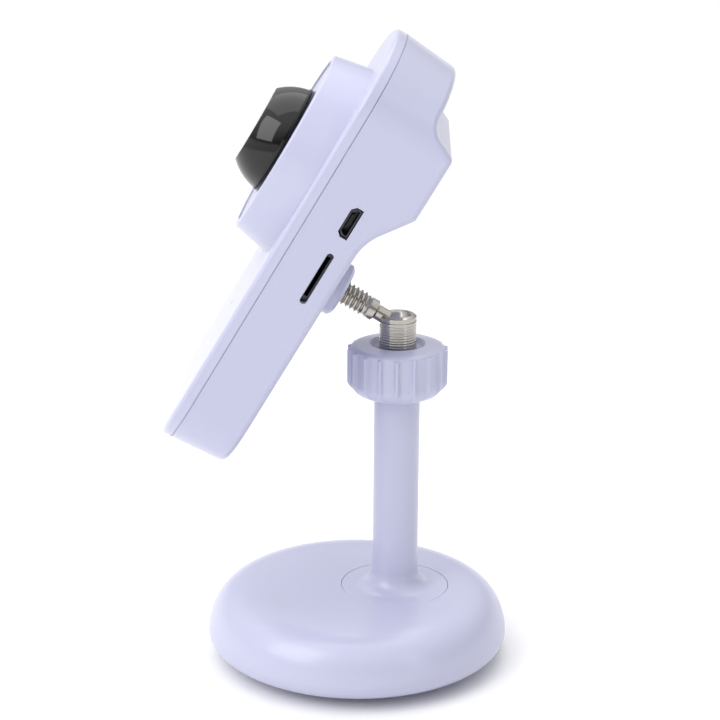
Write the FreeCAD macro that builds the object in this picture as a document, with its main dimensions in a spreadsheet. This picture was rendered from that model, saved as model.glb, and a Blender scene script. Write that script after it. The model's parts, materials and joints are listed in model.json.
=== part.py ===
import FreeCAD, Part
import math
import os
import re
import Sketcher

# Baby monitor camera on a table stand.  Millimetres, +Z up, the lens looks towards -Y.
# The origin is the centre of the foot pad's underside.
#
# The stand's pieces are drawn in the camera's own frame.  The ball joint's pieces are drawn round
# the ball's centre and the head's pieces in the head's frame, which shares that centre:
# x across, y towards the back, z up the long side of the head.  "Reach" is the distance forward
# of the ball's centre, so a face at reach 40 lies at y = -40.

DIMENSIONS = [
    # the stand
    ("base_diameter", 80.0, "widest diameter of the base"),
    ("base_height", 18.7, "height of the flat top of the base"),
    ("waist_height", 7.0, "height at which the base is widest"),
    ("base_wall", 2.5, "wall of the base shell"),
    ("shell_lift", 1.0, "gap between the shell's lower edge and the table"),
    ("plate_diameter", 52.0, "diameter of the bottom plate"),
    ("plate_thickness", 2.0, "thickness of the bottom plate"),
    ("pad_inset", 0.6, "how far the foot pad stays inside the bottom plate's edge"),
    ("plate_screw_ring", 42.0, "pitch circle of the bottom plate's screws"),
    ("plate_screw_length", 8.0, "length of the bottom plate's screws"),
    ("hole_margin", 1.0, "how much deeper a screw's hole is than the screw"),
    ("ballast_diameter", 50.0, "diameter of the steel ballast"),
    ("ballast_thickness", 7.0, "thickness of the steel ballast"),
    ("boss_diameter", 5.6, "screw bosses in the base"),
    ("screw_diameter", 2.6, "self-tapping screws"),
    ("screw_head_diameter", 4.6, "heads of the self-tapping screws"),
    ("screw_head_height", 1.6, "height of a pan head"),
    ("fixed_gap", 0.1, "clearance between pieces that are fastened together"),
    ("column_offset", 10.0, "how far the column stands behind the middle of the base"),
    ("column_diameter", 12.0, "diameter of the column"),
    ("column_top", 78.5, "height of the column's top face"),
    ("flange_diameter", 28.6, "round flange of the column, let into the base"),
    ("flange_depth", 3.3, "how deep the flange is let in"),
    ("foot_fillet", 4.8, "hollow fillet between column and flange"),
    ("seat_diameter", 35.0, "thick pad under the flange, inside the base"),
    ("seat_floor", 2.8, "material left under the flange"),
    ("column_screw_ring", 18.0, "pitch circle of the column's screws"),
    ("column_screw_length", 5.2, "length of the column's screws under the head"),
    ("core_diameter", 8.4, "hollow core of the column"),
    ("web_height", 14.0, "solid stretch of the column round the socket's stem"),
    # the ball joint
    ("ball_height", 91.5, "height of the ball's centre"),
    ("ball_diameter", 7.4, "diameter of the ball"),
    ("ball_clearance", 0.1, "gap between ball and cup"),
    ("socket_diameter", 9.7, "outside of the ball's cup"),
    ("socket_rim", 2.8, "height of the cup's rim above the ball's centre"),
    ("socket_lip", 2.2, "height above the ball's centre at which the cup is narrowest"),
    ("rim_width", 1.1, "width of the cup's flat rim"),
    ("slot_floor", 0.25, "depth of the slot's floor below the ball's centre"),
    ("slot_clearance", 0.15, "gap on each side of the neck in the slot"),
    ("groove_low", 1.15, "lower edge of the cup's groove, above the ball's centre"),
    ("groove_high", 1.6, "upper edge of that groove"),
    ("groove_depth", 0.25, "depth of that groove"),
    ("cup_edge", 0.25, "rounding of the cup's outer edges"),
    ("stem_diameter", 6.0, "stem of the cup, in the column"),
    ("socket_screw_length", 7.8, "length of the screw in the stem, under the head"),
    ("running_gap", 0.06, "radial gap of a piece that turns in another"),
    ("sliding_gap", 0.08, "radial gap of the collar and the clamp ring"),
    ("washer_thickness", 0.8, "washer under the stem"),
    ("washer_diameter", 7.6, "diameter of that washer"),
    ("neck_diameter", 4.0, "neck of the ball stud"),
    ("shoulder_start", 6.5, "reach of the stud's shoulder"),
    ("shoulder_diameter", 5.6, "diameter of the stud's shoulder"),
    ("shoulder_bevel", 0.5, "bevels at the two ends of the shoulder"),
    ("thread_start", 9.4, "reach at which the stud's thread begins"),
    ("thread_end", 23.0, "reach of the stud's tip"),
    ("thread_diameter", 6.35, "quarter inch camera thread"),
    ("thread_depth", 0.62, "depth of the thread"),
    # the locking collar
    ("collar_bottom", 72.4, "height of the collar's underside"),
    ("collar_top", 86.5, "height of the collar's top at its hole"),
    ("collar_diameter", 24.4, "smooth body of the collar"),
    ("collar_shoulder", 85.3, "height of the top of the ribs"),
    ("rib_bottom", 75.2, "height of the bottom of the ribs"),
    ("rib_diameter", 26.4, "diameter over the ribs"),
    ("rib_width", 1.5, "width of a rib"),
    ("rib_root", 0.8, "how deep a rib starts inside the collar's side"),
    ("rib_edge", 0.3, "rounding of a rib's edges"),
    ("collar_foot_radius", 3.2, "rounding of the collar's lower edge"),
    ("collar_edge", 0.5, "rounding above the ribs"),
    ("collar_crown", 1.2, "rounding where the collar's slope meets its flat crown"),
    ("crown_width", 1.0, "width of the flat crown round the hole"),
    ("rib_count", 18, "number of ribs"),
    ("collar_mouth", 13.8, "wide end of the collar's countersunk hole"),
    ("collar_sink", 1.7, "depth of the countersunk hole"),
    ("collar_hole_gap", 0.3, "gap between the cup and the collar's hole"),
    ("collar_step", 0.4, "how far the collar's wide bore reaches below the column's top"),
    ("ring_diameter", 16.0, "outside of the clamp ring"),
    ("ring_lead", 0.6, "bevel at the clamp ring's foot"),
    ("ring_straight", 1.9, "height at which the clamp ring's cone begins"),
    ("ring_tip", 1.2, "thickness of the clamp ring at its top"),
    ("ring_height", 4.9, "height of the clamp ring"),
    ("ring_split", 1.2, "width of the clamp ring's split"),
    ("collar_roof", 2.1, "thickness of the collar above the clamp ring"),
    # the head
    ("head_tilt", 30.6, "how far the head leans back, in degrees"),
    ("head_width", 56.0, "width of the head"),
    ("head_top", 64.7, "top of the head above the ball"),
    ("head_bottom", 54.6, "bottom of the head below the ball"),
    ("end_radius", 46.0, "bulge of the head's top and bottom"),
    ("corner_radius", 16.0, "corner radius of the head"),
    ("draft", 4.0, "draft of the back cover, in degrees"),
    ("head_wall", 2.2, "wall of the head's covers"),
    ("seam", 36.4, "reach of the back cover's edge"),
    ("seam_gap", 0.3, "shadow gap between the covers"),
    ("front_face", 39.6, "reach of the front cover's face"),
    ("back_face", 21.3, "reach of the back cover's face"),
    ("hump_face", 13.4, "reach of the rear hump's face"),
    ("hump_top", 48.0, "top of the hump above the ball"),
    ("hump_bottom", 30.7, "where the hump's face begins to slope"),
    ("hump_corner", 1.7, "rounding of the hump's upper corner"),
    ("scoop_rise", 3.7, "how much higher the hollow above the hump ends"),
    ("scoop_radius", 5.0, "radius of that hollow"),
    ("hump_foot", 19.7, "where the hump's slope meets the back"),
    ("foot_blend", 14.0, "radius where the slope meets the back"),
    ("slope_blend", 2.0, "radius where the slope meets the hump's face"),
    ("room_low", 4.0, "how far the hump's hollow reaches below the top of the slope"),
    ("room_high", 1.0, "how far above it that hollow has its full depth"),
    ("cut_margin", 5.0, "how far a cutting outline reaches past the head"),
    ("edge_radius", 1.6, "rounding of the back cover's edges"),
    ("front_radius", 1.1, "rounding of the front cover's edge"),
    ("chin_start", 40.0, "where the front begins to curve back, below the ball"),
    ("chin_drop", 1.0, "how far the front has curved back at the bottom"),
    ("lens_height", 26.2, "height of the lens axis above the ball"),
    ("puck_face", 49.45, "reach of the raised disc's face"),
    ("puck_diameter", 49.3, "front diameter of the raised disc"),
    ("puck_foot", 53.4, "diameter of the raised disc where it meets the front"),
    ("puck_bore", 43.0, "hollow of the raised disc"),
    ("puck_edge", 0.6, "rounding of the raised disc's edge"),
    ("puck_root", 1.0, "how deep the raised disc starts inside the front cover"),
    ("puck_wall", 2.0, "wall behind the ring plate"),
    ("front_wall", 1.8, "thickness of the front cover's face"),
    ("bezel_diameter", 45.6, "ring plate on the raised disc"),
    ("bezel_thickness", 1.3, "thickness of the ring plate"),
    ("bezel_sink", 0.45, "how far the ring plate lies below the rim"),
    ("bezel_edge", 0.3, "rounding of the ring plate's edges"),
    ("dome_diameter", 28.8, "diameter of the lens dome"),
    ("dome_centre", 47.7, "reach of the dome's centre"),
    ("dome_collar", 50.45, "reach of the dome's straight foot"),
    ("dome_flange_diameter", 33.0, "hidden flange of the dome"),
    ("dome_wall", 1.4, "wall of the dome"),
    ("dome_edge", 0.4, "bevel between the dome and its flat end"),
    ("window_face", 57.8, "reach of the flat window"),
    ("window_diameter", 17.6, "diameter of the flat window"),
    ("window_thickness", 1.2, "thickness of the flat window"),
    ("window_edge", 0.15, "rounding of the flat window's edge"),
    ("window_ledge", 0.8, "width and depth of the ledge behind the flat window"),
    ("window_gap", 1.2, "gap between the flat window and the lens barrel"),
    ("glass_diameter", 10.2, "diameter of the lens's front glass"),
    ("glass_bulge", 0.7, "how far that glass bulges forward"),
    ("glass_seat", 2.0, "depth of the glass's seat in the barrel"),
    ("barrel_diameter", 12.0, "threaded part of the lens barrel"),
    ("barrel_head_diameter", 14.0, "head of the lens barrel"),
    ("barrel_bore", 7.0, "bore of the lens barrel"),
    ("barrel_neck", 2.4, "gap between the lens holder and the barrel's head"),
    ("barrel_edge", 0.4, "rounding of the barrel's head"),
    ("barrel_setback", 1.8, "gap between the sensor board and the barrel"),
    ("holder_lead", 1.4, "how far the lens holder reaches past the dome's centre"),
    ("holder_width", 16.0, "width of the lens holder's foot"),
    ("holder_foot", 3.0, "thickness of the lens holder's foot"),
    ("holder_diameter", 15.0, "outside of the lens holder"),
    # electronics and fastenings in the head
    ("sensor_board_gap", 0.5, "gap between the sensor board and the raised disc's hollow"),
    ("sensor_board_thickness", 1.0, "thickness of the sensor board"),
    ("sensor_post_x", 19.0, "sensor board's screws, from the middle"),
    ("sensor_post_diameter", 3.8, "posts of the sensor board"),
    ("sensor_screw_length", 5.0, "length of the sensor board's screws under the head"),
    ("sensor_width", 8.0, "width of the image sensor"),
    ("sensor_height", 6.0, "height of the image sensor"),
    ("sensor_thickness", 1.0, "thickness of the image sensor"),
    ("sensor_room", 11.0, "square hollow of the lens holder round the image sensor"),
    ("sensor_room_depth", 1.4, "depth of that hollow"),
    ("led_board_thickness", 1.0, "thickness of the infrared light board"),
    ("led_ring", 18.8, "pitch circle of the infrared lights"),
    ("led_diameter", 3.0, "diameter of an infrared light"),
    ("led_height", 2.0, "height of an infrared light"),
    ("light_sensor_diameter", 2.0, "diameter of the light sensor"),
    ("light_sensor_height", 1.2, "height of the light sensor"),
    ("board_back", 28.2, "reach of the main board's rear face"),
    ("board_thickness", 1.6, "thickness of the main board"),
    ("board_width", 49.0, "width of the main board"),
    ("board_top", 44.0, "top of the main board above the ball"),
    ("board_bottom", 20.0, "bottom of the main board below the ball"),
    ("usb_height", 22.5, "height of the charging socket above the ball"),
    ("usb_reach", 26.9, "reach of the charging socket's middle"),
    ("usb_width", 7.5, "width of the charging socket"),
    ("usb_thickness", 2.5, "thickness of the charging socket"),
    ("usb_depth", 5.6, "depth of the charging socket"),
    ("usb_chamfer", 0.9, "cut corners of the charging socket"),
    ("usb_setback", 1.4, "how far the charging socket lies inside the head's side"),
    ("usb_shell_wall", 0.35, "wall of the charging socket"),
    ("usb_back_wall", 0.8, "rear wall of the charging socket"),
    ("tongue_width", 3.8, "width of the tongue in the charging socket"),
    ("tongue_thickness", 0.6, "thickness of that tongue"),
    ("tongue_setback", 1.0, "how far that tongue ends behind the mouth"),
    ("usb_opening_width", 8.4, "width of the opening in the cover"),
    ("usb_opening_height", 3.0, "height of the opening in the cover"),
    ("usb_opening_chamfer", 1.1, "cut corners of that opening"),
    ("card_height", 6.4, "height of the card slot above the ball"),
    ("card_reach", 26.7, "reach of the card slot's middle"),
    ("card_opening_width", 14.5, "length of the card slot"),
    ("card_opening_height", 1.8, "height of the card slot"),
    ("card_depth", 14.5, "depth of the card socket"),
    ("card_socket_width", 14.0, "width of the card socket"),
    ("card_socket_thickness", 2.6, "thickness of the card socket"),
    ("card_socket_gap", 1.0, "gap between the card socket and the head's wall"),
    ("card_back_wall", 1.0, "rear wall of the card socket"),
    ("card_room_width", 11.4, "width of the room for the card"),
    ("card_room_thickness", 1.0, "thickness of the room for the card"),
    ("mount_boss_diameter", 14.4, "boss round the threaded insert"),
    ("mount_boss_face", 16.7, "reach of that boss's face"),
    ("mount_boss_chamfer", 0.8, "chamfer of that boss"),
    ("insert_diameter", 9.4, "outside of the brass insert"),
    ("insert_length", 7.6, "length of the brass insert"),
    ("insert_recess", 0.5, "how far the insert lies inside the boss"),
    ("insert_wall", 2.0, "wall round the insert, inside the cover"),
    ("insert_boss_length", 3.4, "length of that wall"),
    ("thread_clearance", 0.05, "gap between the stud's thread and the insert"),
    ("case_boss_diameter", 6.0, "bosses for the case screws"),
    ("case_screw_x_top", 15.0, "case screws at the top, from the middle"),
    ("case_screw_z_top", 55.6, "case screws at the top, above the ball"),
    ("case_screw_x_low", 18.5, "case screws at the bottom, from the middle"),
    ("case_screw_z_low", 43.5, "case screws at the bottom, below the ball"),
    ("case_screw_seat", 25.9, "reach of the case screws' seats"),
    ("case_screw_length", 12.0, "length of the case screws under the head"),
    ("case_boss_setback", 1.2, "how far the case bosses meet behind the seam"),
    ("board_screw_diameter", 2.0, "screws of the main board"),
    ("board_screw_head", 3.6, "heads of the board screws"),
    ("board_screw_head_height", 1.3, "height of those heads"),
    ("board_screw_length", 5.6, "length of the board screws under the head"),
    ("board_boss_diameter", 4.4, "posts of the main board"),
    ("board_screw_x", 21.0, "board screws, from the middle"),
    ("board_screw_z_top", 40.0, "upper board screws, above the ball"),
    ("board_screw_z_low", 16.0, "lower board screws, below the ball"),
    ("speaker_diameter", 28.0, "diameter of the loudspeaker"),
    ("speaker_height", 36.0, "loudspeaker below the ball"),
    ("speaker_thickness", 5.2, "thickness of the loudspeaker"),
    ("speaker_rim", 2.0, "thickness of the loudspeaker's rim"),
    ("speaker_rim_width", 3.0, "width of that rim"),
    ("magnet_diameter", 16.0, "diameter of the loudspeaker's magnet"),
    ("magnet_thickness", 2.0, "thickness of the magnet's cover"),
    ("sound_hole_diameter", 1.8, "sound holes in the back"),
    ("sound_ring_inner", 8.0, "inner ring of sound holes"),
    ("sound_ring_outer", 15.0, "outer ring of sound holes"),
    ("microphone_low", 17.5, "microphone below the ball"),
    ("microphone_diameter", 4.0, "diameter of the microphone"),
    ("microphone_thickness", 1.5, "thickness of the microphone"),
    ("microphone_hole", 1.4, "sound hole in the front cover"),
    ("can_width", 26.0, "width of the shield can"),
    ("can_low", 15.0, "bottom of the shield can below the ball"),
    ("can_top", 8.0, "top of the shield can above the ball"),
    ("can_height", 2.6, "height of the shield can on the board"),
    ("can_wall", 0.3, "sheet of the shield can"),
    ("processor_size", 12.0, "width and length of the processor"),
    ("processor_thickness", 1.2, "thickness of the processor"),
    ("cable_width", 12.0, "width of the flat cable to the sensor board"),
    ("cable_height", 12.0, "that cable above the ball"),
    ("cable_thickness", 0.3, "thickness of that cable"),
    ("antenna_left", -2.0, "left end of the antenna, from the middle"),
    ("antenna_right", 17.0, "right end of the antenna, from the middle"),
    ("antenna_margin", 4.0, "how far the antenna stays inside the hump's face"),
    ("antenna_thickness", 0.6, "thickness of the antenna"),
    ("button_diameter", 5.0, "pairing button in the hump"),
    ("button_height", 40.0, "pairing button above the ball"),
    ("button_x", -14.0, "pairing button from the middle"),
    ("button_gap", 0.3, "gap round the button"),
    ("button_travel", 0.5, "travel of the button"),
    ("button_proud", 0.4, "how far the button stands out of the hump"),
    ("button_edge", 0.5, "rounding of the button"),
    ("button_flange", 1.0, "width and thickness of the flange that holds the button in"),
    ("plunger_diameter", 3.0, "plunger between the button and its switch"),
    ("switch_size", 6.0, "width and length of the switch under the button"),
    ("switch_thickness", 2.0, "thickness of that switch"),
]

doc = FreeCAD.newDocument("baby_monitor_camera")
sizes = doc.addObject("Spreadsheet::Sheet", "sizes")
for row, (alias, value, meaning) in enumerate(DIMENSIONS, start=1):
    sizes.set(f"A{row}", meaning)
    sizes.set(f"B{row}", str(value))
    sizes.setAlias(f"B{row}", alias)
doc.recompute()
ALIASES = {alias for alias, value, meaning in DIMENSIONS}


# --- helpers: expressions, sketches and features ------------------------------------------------

def bound(text):
    """Write an expression's bare size names as cells of the sheet."""
    return re.sub(r"[a-z][a-z_]*", lambda m: "sizes." + m[0] if m[0] in ALIASES else m[0], str(text))


def number(text):
    """The value that an expression has now."""
    return float(sizes.evalExpression(bound(text).replace("sizes.", "")))


def add_body(name, place="stand"):
    """A new body with its own label and the placement of the frame it is drawn in."""
    body = doc.addObject("PartDesign::Body", name)
    body.Label = name
    if place == "column":
        body.setExpression("Placement.Base.y", bound("column_offset"))
    elif place != "stand":
        body.setExpression("Placement.Base.y", bound("column_offset"))
        body.setExpression("Placement.Base.z", bound("ball_height"))
    if place == "head":
        body.Placement = FreeCAD.Placement(FreeCAD.Vector(), FreeCAD.Rotation(FreeCAD.Vector(1, 0, 0), -1))
        body.setExpression("Placement.Rotation.Angle", bound("-head_tilt"))
    return body


def add_sketch(body, plane, shift=(0, 0, 0)):
    """A sketch on one of the body's own planes, shifted in its own axes."""
    sketch = body.newObject("Sketcher::SketchObject", body.Name + "_sketch")
    origin_plane = [feature for feature in body.Origin.OriginFeatures if feature.Role == plane][0]
    sketch.AttachmentSupport = (origin_plane, [""])
    sketch.MapMode = "FlatFace"
    for axis, distance in zip("xyz", shift):
        if distance != 0:
            sketch.setExpression(f"AttachmentOffset.Base.{axis}", bound(distance))
    return sketch


def pin(sketch, curve, point, across, along):
    """Hold a point of a curve at two expressions from the sketch's origin."""
    for kind, distance in (("DistanceX", across), ("DistanceY", along)):
        constraint = Sketcher.Constraint(kind, -1, 1, curve, point, number(distance))
        index = sketch.addConstraint(constraint)
        sketch.setExpression(f"Constraints[{index}]", bound(distance))


def set_radius(sketch, curve, radius):
    index = sketch.addConstraint(Sketcher.Constraint("Radius", curve, number(radius)))
    sketch.setExpression(f"Constraints[{index}]", bound(radius))


def add_arc(sketch, start, middle, end):
    """An arc; gives the curve with the point numbers of its start and its end."""
    curve = sketch.addGeometry(Part.Arc(start, middle, end), False)
    if sketch.getPoint(curve, 1).distanceToPoint(start) < sketch.getPoint(curve, 1).distanceToPoint(end):
        return curve, 1, 2
    return curve, 2, 1


def draw_outline(sketch, corners, bulges=None):
    """A closed outline through corners of (across, along), or (across, along, radius) where rounded.

    bulges makes the edge after a corner an arc: {corner number: (radius, side)}, where side is 1 for
    an arc on the left of its chord and -1 for one on the right.
    """
    bulges = bulges or {}
    points = [FreeCAD.Vector(number(corner[0]), number(corner[1]), 0) for corner in corners]
    count = len(corners)
    rounded = [len(corner) == 3 for corner in corners]
    leaving, arriving, middles = list(points), list(points), {}
    for i in range(count):
        if rounded[i]:
            radius = number(corners[i][2])
            before = (points[i - 1] - points[i]).normalize()
            after = (points[(i + 1) % count] - points[i]).normalize()
            half = before.getAngle(after) / 2
            centre = points[i] + (before + after).normalize() * (radius / math.sin(half))
            arriving[i] = points[i] + before * (radius / math.tan(half))
            leaving[i] = points[i] + after * (radius / math.tan(half))
            middles[i] = centre + (points[i] - centre).normalize() * radius
    edges = []
    for i in range(count):
        start, end = leaving[i], arriving[(i + 1) % count]
        if i in bulges:
            chord = end - start
            radius = number(bulges[i][0])
            sagitta = radius - math.sqrt(radius ** 2 - chord.Length ** 2 / 4)
            left = FreeCAD.Vector(-chord.y, chord.x, 0).normalize()
            edge = add_arc(sketch, start, (start + end) / 2 + left * (bulges[i][1] * sagitta), end)
            set_radius(sketch, edge[0], bulges[i][0])
        else:
            edge = (sketch.addGeometry(Part.LineSegment(start, end), False), 1, 2)
        edges.append(edge)
    guides = {}
    for i in range(count):
        if rounded[i] or rounded[(i + 1) % count]:
            line = Part.LineSegment(points[i], points[(i + 1) % count])
            guides[i] = sketch.addGeometry(line, True)
            pin(sketch, guides[i], 1, corners[i][0], corners[i][1])
            pin(sketch, guides[i], 2, corners[(i + 1) % count][0], corners[(i + 1) % count][1])
    for i in range(count):
        before, after = edges[i - 1], edges[i]
        if rounded[i]:
            arc, first, last = add_arc(sketch, arriving[i], middles[i], leaving[i])
            for constraint in (("Tangent", before[0], before[2], arc, first),
                               ("Tangent", arc, last, after[0], after[1]),
                               ("PointOnObject", before[0], before[2], guides[(i - 1) % count]),
                               ("PointOnObject", after[0], after[1], guides[i])):
                sketch.addConstraint(Sketcher.Constraint(*constraint))
            set_radius(sketch, arc, corners[i][2])
        else:
            constraint = Sketcher.Constraint("Coincident", before[0], before[2], after[0], after[1])
            sketch.addConstraint(constraint)
            pin(sketch, after[0], after[1], corners[i][0], corners[i][1])


def draw_circles(sketch, circles):
    """Circles given as (across, along, diameter)."""
    for across, along, diameter in circles:
        centre = FreeCAD.Vector(number(across), number(along), 0)
        circle = sketch.addGeometry(Part.Circle(centre, FreeCAD.Vector(0, 0, 1), number(diameter) / 2))
        pin(sketch, circle, 3, across, along)
        set_radius(sketch, circle, f"({diameter}) / 2")


def draw_rectangle(sketch, left, right, low, high):
    draw_outline(sketch, [(left, low), (right, low), (right, high), (left, high)])


def draw_head_outline(sketch, inset):
    """The head from the front: straight sides, bulging ends and rounded corners, all moved inwards."""
    side = number(f"head_width / 2 - ({inset})")
    end_radius = number(f"end_radius - ({inset})")
    corner_radius = number(f"corner_radius - ({inset})")
    top_centre = number("head_top - end_radius")
    low_centre = number("end_radius - head_bottom")
    reach = end_radius - corner_radius
    lift = math.sqrt(reach ** 2 - (side - corner_radius) ** 2)

    def point(x, y):
        return FreeCAD.Vector(x, y, 0)

    def end_arcs(centre, sign):
        """Right corner, bulging end and left corner, from right to left."""
        bearing = math.atan2(lift, side - corner_radius)
        corner_y = centre + sign * lift
        joint = point(end_radius * math.cos(bearing), centre + sign * end_radius * math.sin(bearing))
        middle = bearing / 2
        belly = point(side - corner_radius + corner_radius * math.cos(middle),
                      corner_y + sign * corner_radius * math.sin(middle))
        mirrored = [point(-v.x, v.y) for v in (joint, belly, point(side, corner_y))]
        right = Part.Arc(point(side, corner_y), belly, joint)
        end = Part.Arc(joint, point(0, centre + sign * end_radius), mirrored[0])
        left = Part.Arc(mirrored[0], mirrored[1], mirrored[2])
        return [right, end, left], corner_y

    top, top_y = end_arcs(top_centre, 1)
    low, low_y = end_arcs(low_centre, -1)
    right_side = Part.LineSegment(point(side, low_y), point(side, top_y))
    left_side = Part.LineSegment(point(-side, top_y), point(-side, low_y))
    order = [right_side] + top + [left_side] + list(reversed(low))
    curves = [sketch.addGeometry(curve, False) for curve in order]
    corners = {1: f"corner_radius - ({inset})", 2: f"end_radius - ({inset})"}
    for i, curve in enumerate(curves):
        following = curves[(i + 1) % 8]
        pairs = [(a, b) for a in (1, 2) for b in (1, 2)]
        here, there = min(pairs, key=lambda pair: sketch.getPoint(curve, pair[0]).distanceToPoint(
            sketch.getPoint(following, pair[1])))
        sketch.addConstraint(Sketcher.Constraint("Tangent", curve, here, following, there))
    for i in (1, 3, 5, 7):
        set_radius(sketch, curves[i], corners[1])
    for i, centre in ((2, "head_top - end_radius"), (6, "end_radius - head_bottom")):
        set_radius(sketch, curves[i], corners[2])
        pin(sketch, curves[i], 3, "0", centre)
    for i, sign in ((0, ""), (4, "-")):
        for end in (1, 2):
            distance = f"{sign}(head_width / 2 - ({inset}))"
            constraint = Sketcher.Constraint("DistanceX", -1, 1, curves[i], end, number(distance))
            index = sketch.addConstraint(constraint)
            sketch.setExpression(f"Constraints[{index}]", bound(distance))


def volume(body):
    doc.recompute()
    return body.Shape.Volume


def pad(body, sketch, length, back=False, both=False, taper=None):
    feature = body.newObject("PartDesign::Pad", body.Name + "_pad")
    feature.Profile = sketch
    feature.setExpression("Length", bound(length))
    feature.Reversed = back
    feature.Midplane = both
    if taper:
        feature.setExpression("TaperAngle", bound(taper))
    doc.recompute()
    return feature


def pocket(body, sketch, length, back=False, both=False, taper=None):
    """A cut along the sketch's normal, or against it if back is set; it has to remove material."""
    before = volume(body)
    feature = body.newObject("PartDesign::Pocket", body.Name + "_pocket")
    feature.Profile = sketch
    feature.setExpression("Length", bound(length))
    feature.Reversed = not back
    feature.Midplane = both
    if taper:
        feature.setExpression("TaperAngle", bound(taper))
    if volume(body) > before - 1e-3:
        raise RuntimeError(f"{feature.Name} cuts nothing")
    return feature


def revolve(body, sketch, axis="V_Axis", cut=False):
    """A revolution, or a groove that has to remove material, about one of the sketch's axes."""
    before = volume(body) if cut else 0
    kind = "Groove" if cut else "Revolution"
    feature = body.newObject(f"PartDesign::{kind}", f"{body.Name}_{kind.lower()}")
    feature.Profile = sketch
    feature.ReferenceAxis = (sketch, [axis])
    feature.Angle = 360
    if cut and volume(body) > before - 1e-3:
        raise RuntimeError(f"{feature.Name} cuts nothing")
    doc.recompute()
    return feature


def polar(body, features, count, axis="Z_Axis"):
    """Repeat features round one of the body's own axes."""
    pattern = body.newObject("PartDesign::PolarPattern", body.Name + "_pattern")
    pattern.Originals = features
    pattern.Axis = ([feature for feature in body.Origin.OriginFeatures if feature.Role == axis][0], [""])
    pattern.Angle = 360
    pattern.setExpression("Occurrences", bound(count))
    body.Tip = pattern
    doc.recompute()
    return pattern


def dress(body, kind, size, test):
    """Fillet or chamfer the edges that a test picks from the body's shape."""
    doc.recompute()
    base = body.Tip
    names = [f"Edge{i}" for i, edge in enumerate(base.Shape.Edges, start=1) if test(edge)]
    if not names:
        raise RuntimeError(f"no edge of {body.Name} to {kind.lower()}")
    feature = body.newObject(f"PartDesign::{kind}", f"{body.Name}_{kind.lower()}")
    feature.Base = (base, names)
    feature.setExpression("Radius" if kind == "Fillet" else "Size", bound(size))
    doc.recompute()
    return feature


def round_rod(body, circles, reach, length, back=False):
    """Round pads along the reach direction of the head's frame."""
    sketch = add_sketch(body, "XZ_Plane", (0, 0, reach))
    draw_circles(sketch, circles)
    return pad(body, sketch, length, back)


def round_hole(body, circles, reach, length, back=False):
    """Round holes along the reach direction of the head's frame."""
    sketch = add_sketch(body, "XZ_Plane", (0, 0, reach))
    draw_circles(sketch, circles)
    return pocket(body, sketch, length, back)


def block(body, left, right, low, high, reach, length, back=False):
    """A rectangular pad along the reach direction of the head's frame."""
    sketch = add_sketch(body, "XZ_Plane", (0, 0, reach))
    draw_rectangle(sketch, left, right, low, high)
    return pad(body, sketch, length, back)


def block_hole(body, left, right, low, high, reach, length, back=False):
    """A rectangular hole along the reach direction of the head's frame."""
    sketch = add_sketch(body, "XZ_Plane", (0, 0, reach))
    draw_rectangle(sketch, left, right, low, high)
    return pocket(body, sketch, length, back)


def upright_rod(body, circles, height, length, down=False):
    """Round pads that stand up from a height, or hang down from it."""
    sketch = add_sketch(body, "XY_Plane", (0, 0, height))
    draw_circles(sketch, circles)
    return pad(body, sketch, length, down)


def upright_hole(body, circles, height, length, down=False):
    """Round holes that go up from a height, or down from it."""
    sketch = add_sketch(body, "XY_Plane", (0, 0, height))
    draw_circles(sketch, circles)
    return pocket(body, sketch, length, down)


def turn(body, corners, cut=False, bulges=None):
    """A turned shape round the body's Z axis; corners are (radius, height)."""
    sketch = add_sketch(body, "XZ_Plane")
    draw_outline(sketch, corners, bulges)
    return revolve(body, sketch, "V_Axis", cut)


def lathe(body, corners, height="lens_height", cut=False, bulges=None, across=0):
    """A turned shape round a line along the reach direction; corners are (reach, radius)."""
    sketch = add_sketch(body, "YZ_Plane", (0, height, across))
    mirrored = [(f"-({corner[0]})",) + tuple(corner[1:]) for corner in corners]
    draw_outline(sketch, mirrored, bulges)
    return revolve(body, sketch, "H_Axis", cut)


def ring_places(circle, count, start, offset=0):
    """Places on a pitch circle, as pairs of expressions."""
    places = []
    for i in range(count):
        angle = math.radians(start + 360 / count * i)
        places.append((f"({circle}) / 2 * {math.cos(angle):.6f}",
                       f"({circle}) / 2 * {math.sin(angle):.6f} + {offset}"))
    return places


def circles_at(places, diameter):
    return [(across, along, diameter) for across, along in places]


# --- the base -----------------------------------------------------------------------------------

UPPER_POWERS = (10.65, 1.5)   # how square the base's outline is above its widest point
LOWER_POWERS = (3.27, 2.77)   # and below it
TOP_FLAT = 0.004              # share of the height over which the top is cut off flat
CURVE_POINTS = 12             # stretches of the curve through the outline


def outline_curve(radius, waist, height, powers, last_height):
    """One quarter of the base's outline, a superellipse, from its widest point to a given height."""
    across, along = powers
    last = math.asin((abs(last_height - waist) / height) ** (along / 2))
    side = math.copysign(1, last_height - waist)
    points = []
    for i in range(CURVE_POINTS + 1):
        angle = last * i / CURVE_POINTS
        points.append(FreeCAD.Vector(radius * math.cos(angle) ** (2 / across), 0,
                                     waist + side * height * math.sin(angle) ** (2 / along)))
    curve = Part.BSplineCurve()
    curve.interpolate(points)
    return curve.toShape(), points[-1]


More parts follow.
